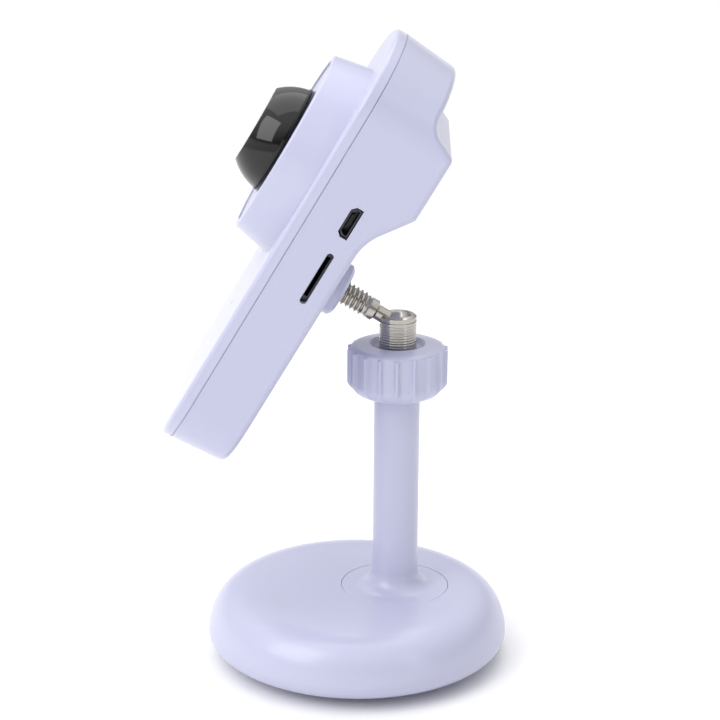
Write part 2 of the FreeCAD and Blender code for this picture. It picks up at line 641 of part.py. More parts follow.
def base_solid(radius, waist, low, high, sunk):
    """The base as a solid of revolution; sunk is how far the outline's lowest point lies under low."""
    flat = TOP_FLAT * (high - waist)
    upper, upper_end = outline_curve(radius, waist, high - waist, UPPER_POWERS, high - flat)
    lower, lower_end = outline_curve(radius, waist, waist - low + sunk, LOWER_POWERS, low)
    axis_top = FreeCAD.Vector(0, 0, upper_end.z)
    axis_low = FreeCAD.Vector(0, 0, lower_end.z)
    edges = [lower, upper, Part.makeLine(upper_end, axis_top), Part.makeLine(axis_top, axis_low),
             Part.makeLine(axis_low, lower_end)]
    face = Part.Face(Part.Wire(Part.__sortEdges__(edges)))
    return face.revolve(FreeCAD.Vector(), FreeCAD.Vector(0, 0, 1), 360)


def base_shell():
    """A moulded shell with screw bosses and a thick seat for the column's flange."""
    radius = number("base_diameter / 2")
    waist, top, lift = number("waist_height"), number("base_height"), number("shell_lift")
    wall = number("base_wall")
    cavity_floor = number("shell_lift + plate_thickness + 4 * fixed_gap")
    outside = base_solid(radius, waist, lift, top, lift)
    inside = base_solid(radius - wall, waist, cavity_floor, top - wall, wall)
    opening = Part.makeCylinder(number("plate_diameter / 2 + fixed_gap * 3"), cavity_floor)
    seat_low = top - number("flange_depth + seat_floor")
    seat_centre = FreeCAD.Vector(0, number("column_offset"), seat_low)
    seat = Part.makeCylinder(number("seat_diameter / 2"), number("flange_depth + seat_floor"), seat_centre)
    boss_low = number("shell_lift + plate_thickness")
    shape = outside.cut(inside.fuse(opening))
    extras, holes = [seat], []
    for across, along in ring_places("plate_screw_ring", 3, 90):
        place = FreeCAD.Vector(number(across), number(along), boss_low)
        extras.append(Part.makeCylinder(number("boss_diameter / 2"), top - boss_low - wall / 2, place))
        depth = number("plate_screw_length - plate_thickness + hole_margin")
        holes.append(Part.makeCylinder(number("screw_diameter / 2 + fixed_gap"), depth, place))
    shape = shape.fuse([extra.common(outside) for extra in extras])
    for across, along in ring_places("column_screw_ring", 3, 30, "column_offset"):
        place = FreeCAD.Vector(number(across), number(along), 0)
        holes.append(Part.makeCylinder(number("screw_diameter / 2 + fixed_gap"), top, place))
    flange = FreeCAD.Vector(0, number("column_offset"), number("base_height - flange_depth"))
    holes.append(Part.makeCylinder(number("flange_diameter / 2 + fixed_gap"), top, flange))
    return shape.cut(Part.makeCompound(holes)).removeSplitter()


shell = doc.addObject("Part::Feature", "base_shell")
shell.Label = "base_shell"
shell.Shape = base_shell()
shell.Placement = FreeCAD.Placement()

plate = add_body("base_plate")
plate_screw_places = ring_places("plate_screw_ring", 3, 90)
upright_rod(plate, [("0", "0", "plate_diameter")], "shell_lift", "plate_thickness")
upright_hole(plate, circles_at(plate_screw_places, "screw_diameter + 2 * fixed_gap"), "shell_lift",
             "plate_thickness")
upright_hole(plate, circles_at(plate_screw_places, "screw_head_diameter + 2 * fixed_gap"), "shell_lift",
             "plate_thickness / 2")

foot = add_body("foot_pad")
upright_rod(foot, [("0", "0", "plate_diameter - 2 * pad_inset")], "0", "shell_lift")
dress(foot, "Chamfer", "shell_lift / 4", lambda edge: edge.BoundBox.ZMax < 0.001)

ballast = add_body("ballast")
upright_rod(ballast, [("0", "0", "ballast_diameter")], "shell_lift + plate_thickness", "ballast_thickness")
upright_hole(ballast, circles_at(plate_screw_places, "boss_diameter + 6 * fixed_gap"),
             "shell_lift + plate_thickness", "ballast_thickness")

plate_screws = add_body("plate_screws")
upright_rod(plate_screws, circles_at(plate_screw_places, "screw_head_diameter"), "shell_lift",
            "plate_thickness / 2")
upright_rod(plate_screws, circles_at(plate_screw_places, "screw_diameter"), "shell_lift",
            "plate_screw_length")


# --- the column ---------------------------------------------------------------------------------

column = add_body("column", "column")
web_low = "column_top - web_height"
stem_hole = "stem_diameter / 2 + running_gap"
turn(column, [
    ("core_diameter / 2", "base_height - flange_depth"),
    ("flange_diameter / 2", "base_height - flange_depth"),
    ("flange_diameter / 2", "base_height"),
    ("column_diameter / 2", "base_height", "foot_fillet"),
    ("column_diameter / 2", "column_top"),
    (stem_hole, "column_top"),
    (stem_hole, web_low),
    ("core_diameter / 2", web_low),
])
column_screw_places = ring_places("column_screw_ring", 3, 30)
seat_underside = "base_height - flange_depth - seat_floor"
upright_hole(column, circles_at(column_screw_places, "screw_diameter + 2 * fixed_gap"),
             "base_height - flange_depth", "column_screw_length - seat_floor + fixed_gap")

column_screws = add_body("column_screws", "column")
upright_rod(column_screws, circles_at(column_screw_places, "screw_head_diameter"),
            seat_underside, "screw_head_height", down=True)
upright_rod(column_screws, circles_at(column_screw_places, "screw_diameter"),
            seat_underside, "column_screw_length")


# --- the ball joint -----------------------------------------------------------------------------

cup_radius = "ball_diameter / 2 + ball_clearance"
cup_foot = "column_top + fixed_gap - ball_height"
stem_end = "column_top - web_height - fixed_gap - ball_height"
lip_radius = f"sqrt(({cup_radius}) ^ 2 - socket_lip ^ 2)"

socket = add_body("ball_socket", "ball")
turn(socket, [
    ("0", f"-({cup_radius})"),
    (lip_radius, "socket_lip"),
    ("socket_diameter / 2 - rim_width", "socket_rim"),
    ("socket_diameter / 2", "socket_rim", "cup_edge"),
    ("socket_diameter / 2", cup_foot, "cup_edge"),
    ("stem_diameter / 2", cup_foot),
    ("stem_diameter / 2", stem_end),
    ("0", stem_end),
], bulges={0: (cup_radius, -1)})
turn(socket, [
    ("socket_diameter / 2 - groove_depth", "groove_low"),
    ("socket_diameter / 2 + hole_margin", "groove_low"),
    ("socket_diameter / 2 + hole_margin", "groove_high"),
    ("socket_diameter / 2 - groove_depth", "groove_high"),
], cut=True)
slot = add_sketch(socket, "XZ_Plane")
draw_rectangle(slot, "-(neck_diameter / 2 + slot_clearance)", "neck_diameter / 2 + slot_clearance",
               "-slot_floor", "socket_rim + hole_margin")
pocket(socket, slot, "socket_diameter")
upright_hole(socket, [("0", "0", "screw_diameter + 2 * fixed_gap")], stem_end,
             "socket_screw_length - washer_thickness + hole_margin")

socket_washer = add_body("socket_washer", "ball")
upright_rod(socket_washer, [("0", "0", "washer_diameter")], stem_end, "washer_thickness", down=True)
upright_hole(socket_washer, [("0", "0", "screw_diameter + 2 * fixed_gap")], stem_end,
             "washer_thickness", down=True)

socket_screw = add_body("socket_screw", "ball")
upright_rod(socket_screw, [("0", "0", "screw_head_diameter")], f"{stem_end} - washer_thickness",
            "screw_head_height", down=True)
upright_rod(socket_screw, [("0", "0", "screw_diameter")], f"{stem_end} - washer_thickness",
            "socket_screw_length")

stud = add_body("ball_stud", "head")
neck_start = "sqrt((ball_diameter / 2) ^ 2 - (neck_diameter / 2) ^ 2)"
lathe(stud, [
    ("-ball_diameter / 2", "0"),
    (neck_start, "neck_diameter / 2"),
    ("shoulder_start", "neck_diameter / 2"),
    ("shoulder_start + shoulder_bevel", "shoulder_diameter / 2"),
    ("thread_start - shoulder_bevel", "shoulder_diameter / 2"),
    ("thread_start", "thread_diameter / 2"),
    ("thread_end - thread_depth", "thread_diameter / 2"),
    ("thread_end", "thread_diameter / 2 - thread_depth"),
    ("thread_end", "0"),
], height="0", bulges={0: ("ball_diameter / 2", -1)})


# --- the locking collar -------------------------------------------------------------------------

ring = add_body("clamp_ring", "column")
ring_low = "column_top + fixed_gap"
ring_bore = "socket_diameter / 2 + sliding_gap"
turn(ring, [
    (ring_bore, ring_low),
    ("ring_diameter / 2 - ring_lead", ring_low),
    ("ring_diameter / 2", f"{ring_low} + ring_lead"),
    ("ring_diameter / 2", f"{ring_low} + ring_straight"),
    (f"{ring_bore} + ring_tip", f"{ring_low} + ring_height"),
    (ring_bore, f"{ring_low} + ring_height"),
])
split = add_sketch(ring, "XZ_Plane")
draw_rectangle(split, "-ring_split / 2", "ring_split / 2", ring_low, f"{ring_low} + ring_height")
pocket(ring, split, "ring_diameter")

collar = add_body("locking_collar", "column")
collar_bore = "column_diameter / 2 + sliding_gap"
collar_hole = "socket_diameter / 2 + collar_hole_gap"
roof = "collar_top - collar_roof"
turn(collar, [
    (collar_bore, "collar_bottom"),
    ("collar_diameter / 2", "collar_bottom", "collar_foot_radius"),
    ("collar_diameter / 2", "collar_shoulder", "collar_edge"),
    ("collar_mouth / 2 + crown_width", "collar_top", "collar_crown"),
    ("collar_mouth / 2", "collar_top"),
    (collar_hole, "collar_top - collar_sink"),
    (collar_hole, roof),
    ("ring_diameter / 2 + fixed_gap", roof),
    ("ring_diameter / 2 + fixed_gap", "column_top - collar_step"),
    (collar_bore, "column_top - collar_step"),
])
rib = add_sketch(collar, "XY_Plane", (0, 0, "rib_bottom"))
draw_outline(rib, [
    ("-rib_width / 2", "collar_diameter / 2 - rib_root"),
    ("rib_width / 2", "collar_diameter / 2 - rib_root"),
    ("rib_width / 2", "rib_diameter / 2", "rib_edge"),
    ("-rib_width / 2", "rib_diameter / 2", "rib_edge"),
])
rib_pad = pad(collar, rib, "collar_shoulder - rib_bottom")
polar(collar, [rib_pad], "rib_count")


# --- the head's covers --------------------------------------------------------------------------

SIDES = ("", "-")
case_screw_places = [(f"{side}case_screw_x_top", "case_screw_z_top") for side in SIDES]
case_screw_places += [(f"{side}case_screw_x_low", "-case_screw_z_low") for side in SIDES]
high_posts = [(f"{side}board_screw_x", "board_screw_z_top") for side in SIDES]
low_posts = [(f"{side}board_screw_x", "-board_screw_z_low") for side in SIDES]
front_seam = "seam + seam_gap"
clear_screw = "screw_diameter + 2 * fixed_gap"
clear_board_screw = "board_screw_diameter + 2 * fixed_gap"
board_hole_depth = "board_screw_length - board_thickness + hole_margin / 2"
sensor_hole_depth = "sensor_screw_length - sensor_board_thickness + hole_margin / 2"


def cut_side_profile(body, corners, width="head_width + 2"):
    """Cut an outline of (reach, height) right across a body of the head."""
    sketch = add_sketch(body, "YZ_Plane")
    draw_outline(sketch, [(f"-({corner[0]})",) + tuple(corner[1:]) for corner in corners])
    pocket(body, sketch, width, both=True)


back = add_body("back_cover", "head")
outline = add_sketch(back, "XZ_Plane", (0, 0, "seam"))
draw_head_outline(outline, "0")
pad(back, outline, "seam - hump_face", back=True, taper="-draft")
cut_side_profile(back, [
    ("back_face", "-head_bottom - cut_margin"),
    ("back_face", "hump_foot", "foot_blend"),
    ("hump_face", "hump_bottom", "slope_blend"),
    ("hump_face", "hump_top", "hump_corner"),
    ("back_face", "hump_top + scoop_rise", "scoop_radius"),
    ("back_face", "head_top + cut_margin"),
    ("hump_face - cut_margin", "head_top + cut_margin"),
    ("hump_face - cut_margin", "-head_bottom - cut_margin"),
])


def on_the_back(edge):
    """Edges round the back face and the hump: everything behind the straight side walls."""
    box = edge.BoundBox
    middle = box.Center
    inner = abs(middle.x) < 3 and box.XLength > 40
    return -box.YMin < number("back_face") + 0.6 and not inner


dress(back, "Fillet", "edge_radius", on_the_back)
inner_outline = add_sketch(back, "XZ_Plane", (0, 0, "seam"))
draw_head_outline(inner_outline, "head_wall")
pocket(back, inner_outline, "seam - back_face - head_wall", back=True, taper="-draft")
hump_room = add_sketch(back, "YZ_Plane")
draw_outline(hump_room, [
    ("-(back_face + 1.25 * head_wall)", "hump_bottom - room_low"),
    ("-(hump_face + head_wall)", "hump_bottom + room_high"),
    ("-(hump_face + head_wall)", "hump_top - head_wall"),
    ("-(back_face + 1.25 * head_wall)", "hump_top - head_wall"),
])
pocket(back, hump_room, "head_width - 3 * head_wall", both=True)
round_rod(back, circles_at(case_screw_places, "case_boss_diameter"), "back_face + head_wall / 2",
          "seam - case_boss_setback - fixed_gap - back_face - head_wall / 2")
round_rod(back, circles_at(high_posts, "board_boss_diameter"), "hump_face + head_wall / 2",
          "board_back - hump_face - head_wall / 2")
round_rod(back, circles_at(low_posts, "board_boss_diameter"), "back_face + head_wall / 2",
          "board_back - back_face - head_wall / 2")
round_rod(back, [("0", "0", "insert_diameter + 2 * insert_wall")], "back_face + head_wall / 2",
          "insert_boss_length")
round_rod(back, [("0", "0", "mount_boss_diameter")], "back_face + head_wall / 2",
          "back_face + head_wall / 2 - mount_boss_face", back=True)
dress(back, "Chamfer", "mount_boss_chamfer", lambda edge: max(
    abs(edge.BoundBox.YMin + number("mount_boss_face")),
    abs(edge.BoundBox.YMax + number("mount_boss_face"))) < 0.01)
round_hole(back, [("0", "0", "insert_diameter + 2 * fixed_gap")], "mount_boss_face",
           "insert_length + insert_recess + fixed_gap")
round_hole(back, circles_at(case_screw_places, "screw_head_diameter + 4 * fixed_gap"), "hump_face",
           "case_screw_seat - hump_face")
round_hole(back, circles_at(case_screw_places, clear_screw), "hump_face", "front_face - hump_face")
for posts in (high_posts, low_posts):
    round_hole(back, circles_at(posts, clear_board_screw), f"board_back - ({board_hole_depth})",
               board_hole_depth)

speaker_places = [("0", "-speaker_height")]
for circle, count in (("sound_ring_inner", 6), ("sound_ring_outer", 12)):
    speaker_places += [(across, f"{along} - speaker_height")
                       for across, along in ring_places(circle, count, 0)]
round_hole(back, circles_at(speaker_places, "sound_hole_diameter"), "back_face", "head_wall")
round_hole(back, [("button_x", "button_height", "button_diameter + 2 * button_gap")], "hump_face",
           "head_wall")


def side_hole(body, corners):
    """Cut an outline of (reach, height) from inside through the wall on the +X side."""
    sketch = add_sketch(body, "YZ_Plane", (0, 0, "head_width / 2 - 2 * head_wall"))
    draw_outline(sketch, [(f"-({corner[0]})",) + tuple(corner[1:]) for corner in corners])
    pocket(body, sketch, "head_width")


def usb_outline(width, thickness, chamfer):
    """The charging socket's six-sided outline: (reach, height), its front corners cut off."""
    low, high = f"usb_height - ({width}) / 2", f"usb_height + ({width}) / 2"
    rear, front = f"usb_reach - ({thickness}) / 2", f"usb_reach + ({thickness}) / 2"
    return [(rear, low), (f"{front} - {chamfer}", low), (front, f"{low} + {chamfer}"),
            (front, f"{high} - {chamfer}"), (f"{front} - {chamfer}", high), (rear, high)]


side_hole(back, usb_outline("usb_opening_width", "usb_opening_height", "usb_opening_chamfer"))
card_end = "card_opening_height / 2 - fixed_gap / 2"
side_hole(back, [
    ("card_reach - card_opening_height / 2", "card_height - card_opening_width / 2", card_end),
    ("card_reach + card_opening_height / 2", "card_height - card_opening_width / 2", card_end),
    ("card_reach + card_opening_height / 2", "card_height + card_opening_width / 2", card_end),
    ("card_reach - card_opening_height / 2", "card_height + card_opening_width / 2", card_end),
])

front = add_body("front_cover", "head")
outline = add_sketch(front, "XZ_Plane", (0, 0, front_seam))
draw_head_outline(outline, "0")
pad(front, outline, f"front_face - ({front_seam})", taper="-draft / 2")
chin_half = "(head_bottom - chin_start) / 2"
cut_side_profile(front, [
    ("front_face", "-chin_start + 2 * cut_margin"),
    ("front_face", f"-chin_start - {chin_half}", f"1.9 * ({chin_half}) ^ 2 / chin_drop"),
    ("front_face - 2 * chin_drop", f"-head_bottom - {chin_half}"),
    ("front_face + cut_margin", f"-head_bottom - {chin_half}"),
    ("front_face + cut_margin", "-chin_start + 2 * cut_margin"),
])


def round_the_front(edge):
    """The front face's edge, all the way round, without the line where the chin begins."""
    box = edge.BoundBox
    chin_line = box.ZLength < 0.01 and box.YLength < 0.01
    return -box.YMax > number(front_seam) + 0.3 and not chin_line


dress(front, "Fillet", "front_radius", round_the_front)
puck_slope = "(puck_foot - puck_diameter) / 2 / (puck_face - front_face)"
lathe(front, [
    ("front_face - puck_root", "0"),
    ("front_face - puck_root", f"puck_foot / 2 + puck_root * {puck_slope}"),
    ("puck_face", "puck_diameter / 2", "puck_edge"),
    ("puck_face", "0"),
])
inner_outline = add_sketch(front, "XZ_Plane", (0, 0, front_seam))
draw_head_outline(inner_outline, "head_wall")
pocket(front, inner_outline, f"front_face - front_wall - ({front_seam})")
hollow_end = "puck_face - bezel_sink - bezel_thickness - puck_wall"
lathe(front, [
    (f"{front_seam}", "0"),
    (f"{front_seam}", "puck_bore / 2"),
    (hollow_end, "puck_bore / 2"),
    (hollow_end, "0"),
], cut=True)
lathe(front, [
    ("puck_face - bezel_sink - bezel_thickness", "0"),
    ("puck_face - bezel_sink - bezel_thickness", "bezel_diameter / 2 + fixed_gap"),
    ("puck_face + cut_margin", "bezel_diameter / 2 + fixed_gap"),
    ("puck_face + cut_margin", "0"),
], cut=True)
round_hole(front, [("0", "lens_height", "dome_diameter + 3 * fixed_gap")], hollow_end, "puck_face")
round_rod(front, circles_at(case_screw_places, "case_boss_diameter"), "seam - case_boss_setback",
          "front_face - head_wall / 2 - seam + case_boss_setback")
round_hole(front, circles_at(case_screw_places, clear_screw), "seam - case_boss_setback",
           "case_screw_length + case_screw_seat + fixed_gap - seam + case_boss_setback")
sensor_posts = [(f"{side}sensor_post_x", "lens_height") for side in SIDES]
sensor_board_reach = "front_face - 4 * fixed_gap"
round_rod(front, circles_at(sensor_posts, "sensor_post_diameter"), sensor_board_reach,
          f"{hollow_end} + puck_wall / 4 - ({sensor_board_reach})")
round_hole(front, circles_at(sensor_posts, clear_board_screw), sensor_board_reach, sensor_hole_depth)
round_hole(front, [("0", "-microphone_low", "microphone_hole")], "seam", "front_face - seam")


# --- the lens -----------------------------------------------------------------------------------

bezel = add_body("lens_bezel", "head")
bezel_back = "puck_face - bezel_sink - bezel_thickness"
lathe(bezel, [
    (bezel_back, "dome_diameter / 2 + 2 * fixed_gap"),
    (bezel_back, "bezel_diameter / 2"),
    (f"{bezel_back} + bezel_thickness", "bezel_diameter / 2", "bezel_edge"),
    (f"{bezel_back} + bezel_thickness", "dome_diameter / 2 + 2 * fixed_gap", "bezel_edge"),
])

dome = add_body("lens_dome", "head")
ball_radius = "dome_diameter / 2"
bore_radius = "dome_diameter / 2 - dome_wall"
flange_front = hollow_end
flange_back = f"{hollow_end} - dome_wall"
window_seat = "window_face - window_thickness - fixed_gap / 2"


def round_at(radius, reach):
    """Radius of the dome's sphere at a reach."""
    return f"sqrt(({radius}) ^ 2 - ({reach} - dome_centre) ^ 2)"


lathe(dome, [
    (flange_back, bore_radius),
    (flange_back, "dome_flange_diameter / 2"),
    (flange_front, "dome_flange_diameter / 2"),
    (flange_front, ball_radius),
    ("dome_collar", ball_radius),
    ("dome_collar", round_at(ball_radius, "dome_collar")),
    ("window_face - dome_edge", round_at(ball_radius, "(window_face - dome_edge)")),
    ("window_face", f"{round_at(ball_radius, '(window_face - dome_edge)')} - dome_edge"),
    ("window_face", "window_diameter / 2 + fixed_gap"),
    (window_seat, "window_diameter / 2 + fixed_gap"),
    (window_seat, "window_diameter / 2 - window_ledge"),
    (f"{window_seat} - window_ledge", "window_diameter / 2 - window_ledge"),
    (f"{window_seat} - window_ledge", round_at(bore_radius, f"({window_seat} - window_ledge)")),
    ("dome_centre", bore_radius),
], bulges={5: (ball_radius, -1), 12: (bore_radius, 1)})

window = add_body("lens_window", "head")
lathe(window, [
    ("window_face - window_thickness", "0"),
    ("window_face - window_thickness", "window_diameter / 2"),
    ("window_face", "window_diameter / 2", "window_edge"),
    ("window_face", "0"),
])

spacer = add_body("dome_spacer", "head")
lathe(spacer, [
    (sensor_board_reach, f"{bore_radius} + 2 * fixed_gap"),
    (sensor_board_reach, "dome_flange_diameter / 2 - 2 * fixed_gap"),
    (flange_back, "dome_flange_diameter / 2 - 2 * fixed_gap"),
    (flange_back, f"{bore_radius} + 2 * fixed_gap"),
])

holder_end = "dome_centre + holder_lead"
holder = add_body("lens_holder", "head")
block(holder, "-holder_width / 2", "holder_width / 2", "lens_height - holder_width / 2",
      "lens_height + holder_width / 2", sensor_board_reach, "holder_foot")
round_rod(holder, [("0", "lens_height", "holder_diameter")], f"{sensor_board_reach} + holder_foot",
          f"{holder_end} - ({sensor_board_reach}) - holder_foot")
round_hole(holder, [("0", "lens_height", "barrel_diameter + fixed_gap")], sensor_board_reach,
           f"{holder_end} - ({sensor_board_reach})")
block_hole(holder, "-sensor_room / 2", "sensor_room / 2", "lens_height - sensor_room / 2",
           "lens_height + sensor_room / 2", sensor_board_reach, "sensor_room_depth")

barrel = add_body("lens_barrel", "head")
barrel_front = "window_face - window_thickness - window_gap"
glass_radius = "glass_diameter / 2 + fixed_gap"
lathe(barrel, [
    (f"{sensor_board_reach} + barrel_setback", "barrel_bore / 2"),
    (f"{sensor_board_reach} + barrel_setback", "barrel_diameter / 2"),
    (f"{holder_end} + barrel_neck", "barrel_diameter / 2"),
    (f"{holder_end} + barrel_neck", "barrel_head_diameter / 2"),
    (barrel_front, "barrel_head_diameter / 2", "barrel_edge"),
    (barrel_front, glass_radius),
    (f"{barrel_front} - glass_seat", glass_radius),
    (f"{barrel_front} - glass_seat", "barrel_bore / 2"),
])

glass = add_body("front_lens", "head")
lathe(glass, [
    (f"{barrel_front} - glass_seat", "0"),
    (f"{barrel_front} - glass_seat", "glass_diameter / 2"),
    (f"{barrel_front} - 2 * fixed_gap - glass_bulge", "glass_diameter / 2"),
    (f"{barrel_front} - 2 * fixed_gap", "0"),
], bulges={2: ("((glass_diameter / 2) ^ 2 + glass_bulge ^ 2) / (2 * glass_bulge)", -1)})

led_board = add_body("led_board", "head")
led_board_inside = "barrel_diameter / 2 + 4 * fixed_gap"
led_board_outside = f"{bore_radius} - 6 * fixed_gap"
led_seat = f"{holder_end} + led_board_thickness"
lathe(led_board, [
    (holder_end, led_board_inside),
    (holder_end, led_board_outside),
    (led_seat, led_board_outside),
    (led_seat, led_board_inside),
])


def lens_ring(circle, count, start):
    """Places round the lens axis."""
    return [(across, f"{along} + lens_height") for across, along in ring_places(circle, count, start)]


leds = add_body("infrared_leds", "head")
leds.AllowCompound = True
round_rod(leds, circles_at(lens_ring("led_ring", 8, 22.5), "led_diameter"), led_seat, "led_height")

light_sensor = add_body("light_sensor", "head")
round_rod(light_sensor, circles_at(lens_ring("led_ring", 1, 90), "light_sensor_diameter"), led_seat,
          "light_sensor_height")

sensor_board = add_body("sensor_board", "head")
round_rod(sensor_board, [("0", "lens_height", "puck_bore - 2 * sensor_board_gap")], sensor_board_reach,
          "sensor_board_thickness", back=True)
round_hole(sensor_board, circles_at(sensor_posts, clear_board_screw), sensor_board_reach,
           "sensor_board_thickness", back=True)

image_sensor = add_body("image_sensor", "head")
block(image_sensor, "-sensor_width / 2", "sensor_width / 2", "lens_height - sensor_height / 2",
      "lens_height + sensor_height / 2", sensor_board_reach, "sensor_thickness")

sensor_screws = add_body("sensor_screws", "head")
screw_seat = f"{sensor_board_reach} - sensor_board_thickness"
round_rod(sensor_screws, circles_at(sensor_posts, "board_screw_head"), screw_seat,
          "board_screw_head_height", back=True)
round_rod(sensor_screws, circles_at(sensor_posts, "board_screw_diameter"), screw_seat,
          "sensor_screw_length")


# --- the main board and what is on it -----------------------------------------------------------

board = add_body("main_board", "head")
block(board, "-board_width / 2", "board_width / 2", "-board_bottom", "board_top", "board_back",
      "board_thickness")
round_hole(board, circles_at(high_posts + low_posts, clear_board_screw), "board_back", "board_thickness")

board_screws = add_body("board_screws", "head")
board_face = "board_back + board_thickness"
round_rod(board_screws, circles_at(high_posts + low_posts, "board_screw_head"), board_face,
          "board_screw_head_height")
round_rod(board_screws, circles_at(high_posts + low_posts, "board_screw_diameter"), board_face,
          "board_screw_length", back=True)

usb = add_body("usb_socket", "head")
usb_mouth = "head_width / 2 - usb_setback"
usb_end = f"{usb_mouth} - usb_depth"


def side_rod(body, corners, start, length):
    """A pad along X from an outline of (reach, height)."""
    sketch = add_sketch(body, "YZ_Plane", (0, 0, start))
    draw_outline(sketch, [(f"-({corner[0]})",) + tuple(corner[1:]) for corner in corners])
    pad(body, sketch, length)


side_rod(usb, usb_outline("usb_width", "usb_thickness", "usb_chamfer"), usb_end, "usb_depth")
usb_inside = add_sketch(usb, "YZ_Plane", (0, 0, f"{usb_end} + usb_back_wall"))
draw_outline(usb_inside, [(f"-({reach})", height) for reach, height in usb_outline(
    "usb_width - 2 * usb_shell_wall", "usb_thickness - 2 * usb_shell_wall",
    "usb_chamfer - usb_shell_wall / 2")])
pocket(usb, usb_inside, "usb_depth")

tongue = add_body("usb_tongue", "head")
side_rod(tongue, [
    ("usb_reach - fixed_gap", "usb_height - tongue_width / 2"),
    ("usb_reach - fixed_gap + tongue_thickness", "usb_height - tongue_width / 2"),
    ("usb_reach - fixed_gap + tongue_thickness", "usb_height + tongue_width / 2"),
    ("usb_reach - fixed_gap", "usb_height + tongue_width / 2"),
], f"{usb_end} + usb_back_wall", "usb_depth - usb_back_wall - tongue_setback")

card = add_body("card_socket", "head")
card_socket_end = "head_width / 2 - head_wall - card_socket_gap - card_depth"
side_rod(card, [
    ("board_back - card_socket_thickness", "card_height - card_socket_width / 2"),
    ("board_back", "card_height - card_socket_width / 2"),
    ("board_back", "card_height + card_socket_width / 2"),
    ("board_back - card_socket_thickness", "card_height + card_socket_width / 2"),
], card_socket_end, "card_depth")
card_room = add_sketch(card, "YZ_Plane", (0, 0, f"{card_socket_end} + card_back_wall"))
draw_rectangle(card_room, "-card_reach - card_room_thickness / 2",
               "-card_reach + card_room_thickness / 2",
               "card_height - card_room_width / 2", "card_height + card_room_width / 2")
pocket(card, card_room, "card_depth")

can = add_body("shield_can", "head")
block(can, "-can_width / 2", "can_width / 2", "-can_low", "can_top", board_face, "can_height")
block_hole(can, "-can_width / 2 + can_wall", "can_width / 2 - can_wall", "-can_low + can_wall",
           "can_top - can_wall", board_face, "can_height - can_wall")
processor = add_body("processor", "head")
can_middle = "(can_top - can_low) / 2"
block(processor, "-processor_size / 2", "processor_size / 2", f"{can_middle} - processor_size / 2",
      f"{can_middle} + processor_size / 2", board_face, "processor_thickness")

microphone = add_body("microphone", "head")
round_rod(microphone, [("0", "-microphone_low", "microphone_diameter")], board_face,
          "microphone_thickness")

cable = add_body("sensor_cable", "head")
block(cable, "-cable_width / 2", "cable_width / 2", "cable_height", "cable_height + cable_thickness",
      board_face, f"{screw_seat} - ({board_face})")

switch = add_body("pair_switch", "head")
block(switch, "button_x - switch_size / 2", "button_x + switch_size / 2",
      "button_height - switch_size / 2", "button_height + switch_size / 2", "board_back",
      "switch_thickness", back=True)

speaker = add_body("loudspeaker", "head")
speaker_back = "back_face + head_wall"
lathe(speaker, [
    (speaker_back, "0"),
    (speaker_back, "speaker_diameter / 2"),
    (f"{speaker_back} + speaker_rim", "speaker_diameter / 2"),
    (f"{speaker_back} + speaker_rim", "speaker_diameter / 2 - speaker_rim_width"),
    (f"{speaker_back} + speaker_thickness - magnet_thickness", "magnet_diameter / 2"),
    (f"{speaker_back} + speaker_thickness", "magnet_diameter / 2"),
    (f"{speaker_back} + speaker_thickness", "0"),
], height="-speaker_height")

antenna = add_body("antenna", "head")
block(antenna, "antenna_left", "antenna_right", "hump_bottom + antenna_margin",
      "hump_top - antenna_margin", "hump_face + head_wall", "antenna_thickness")

insert = add_body("threaded_insert", "head")
insert_back = "mount_boss_face + insert_recess"
thread_hole = "thread_diameter / 2 + thread_clearance"
lathe(insert, [
    (insert_back, thread_hole),
    (insert_back, "insert_diameter / 2"),
    (f"{insert_back} + insert_length", "insert_diameter / 2"),
    (f"{insert_back} + insert_length", thread_hole),
], height="0")

case_screws = add_body("case_screws", "head")
round_rod(case_screws, circles_at(case_screw_places, "screw_head_diameter"), "case_screw_seat",
          "screw_head_height", back=True)
round_rod(case_screws, circles_at(case_screw_places, "screw_diameter"), "case_screw_seat",
          "case_screw_length")

button = add_body("pair_button", "head")
flange_reach = "hump_face + head_wall + fixed_gap"
plunger_end = "board_back - switch_thickness - fixed_gap - button_travel"
lathe(button, [
    ("hump_face - button_proud", "0"),
    ("hump_face - button_proud", "button_diameter / 2", "button_edge"),
    (flange_reach, "button_diameter / 2"),
    (flange_reach, "button_diameter / 2 + button_flange"),
    (f"{flange_reach} + button_flange", "button_diameter / 2 + button_flange"),
    (f"{flange_reach} + button_flange", "plunger_diameter / 2"),
    (plunger_end, "plunger_diameter / 2"),
    (plunger_end, "0"),
], height="button_height", across="button_x")


# --- checks and files ---------------------------------------------------------------------------

def parts():
    """Every finished sub-part: the bodies and the shapes made by code."""
    return [item for item in doc.Objects if item.TypeId in ("PartDesign::Body", "Part::Feature")]


def write_parts():
    doc.recompute()
    for item in doc.Objects:
        if "Invalid" in item.State or "Error" in item.State:
            raise RuntimeError(f"{item.Label} failed: {item.State}")
    for item in parts():
        if item.Shape.isNull() or not item.Shape.isValid() or not item.Shape.Solids:
            raise RuntimeError(f"{item.Label} has no valid solid")
    os.makedirs("parts", exist_ok=True)
    for item in parts():
        item.Shape.exportStep(f"parts/{item.Label}.step")
        box = item.Shape.BoundBox
        print(f"{item.Label}: {len(item.Shape.Solids)} solid, {item.Shape.Volume:.1f} mm3, "
              f"z {box.ZMin:.2f} to {box.ZMax:.2f}")


write_parts()
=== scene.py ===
import json
import math

import bmesh
import bpy
from mathutils import Matrix, Vector


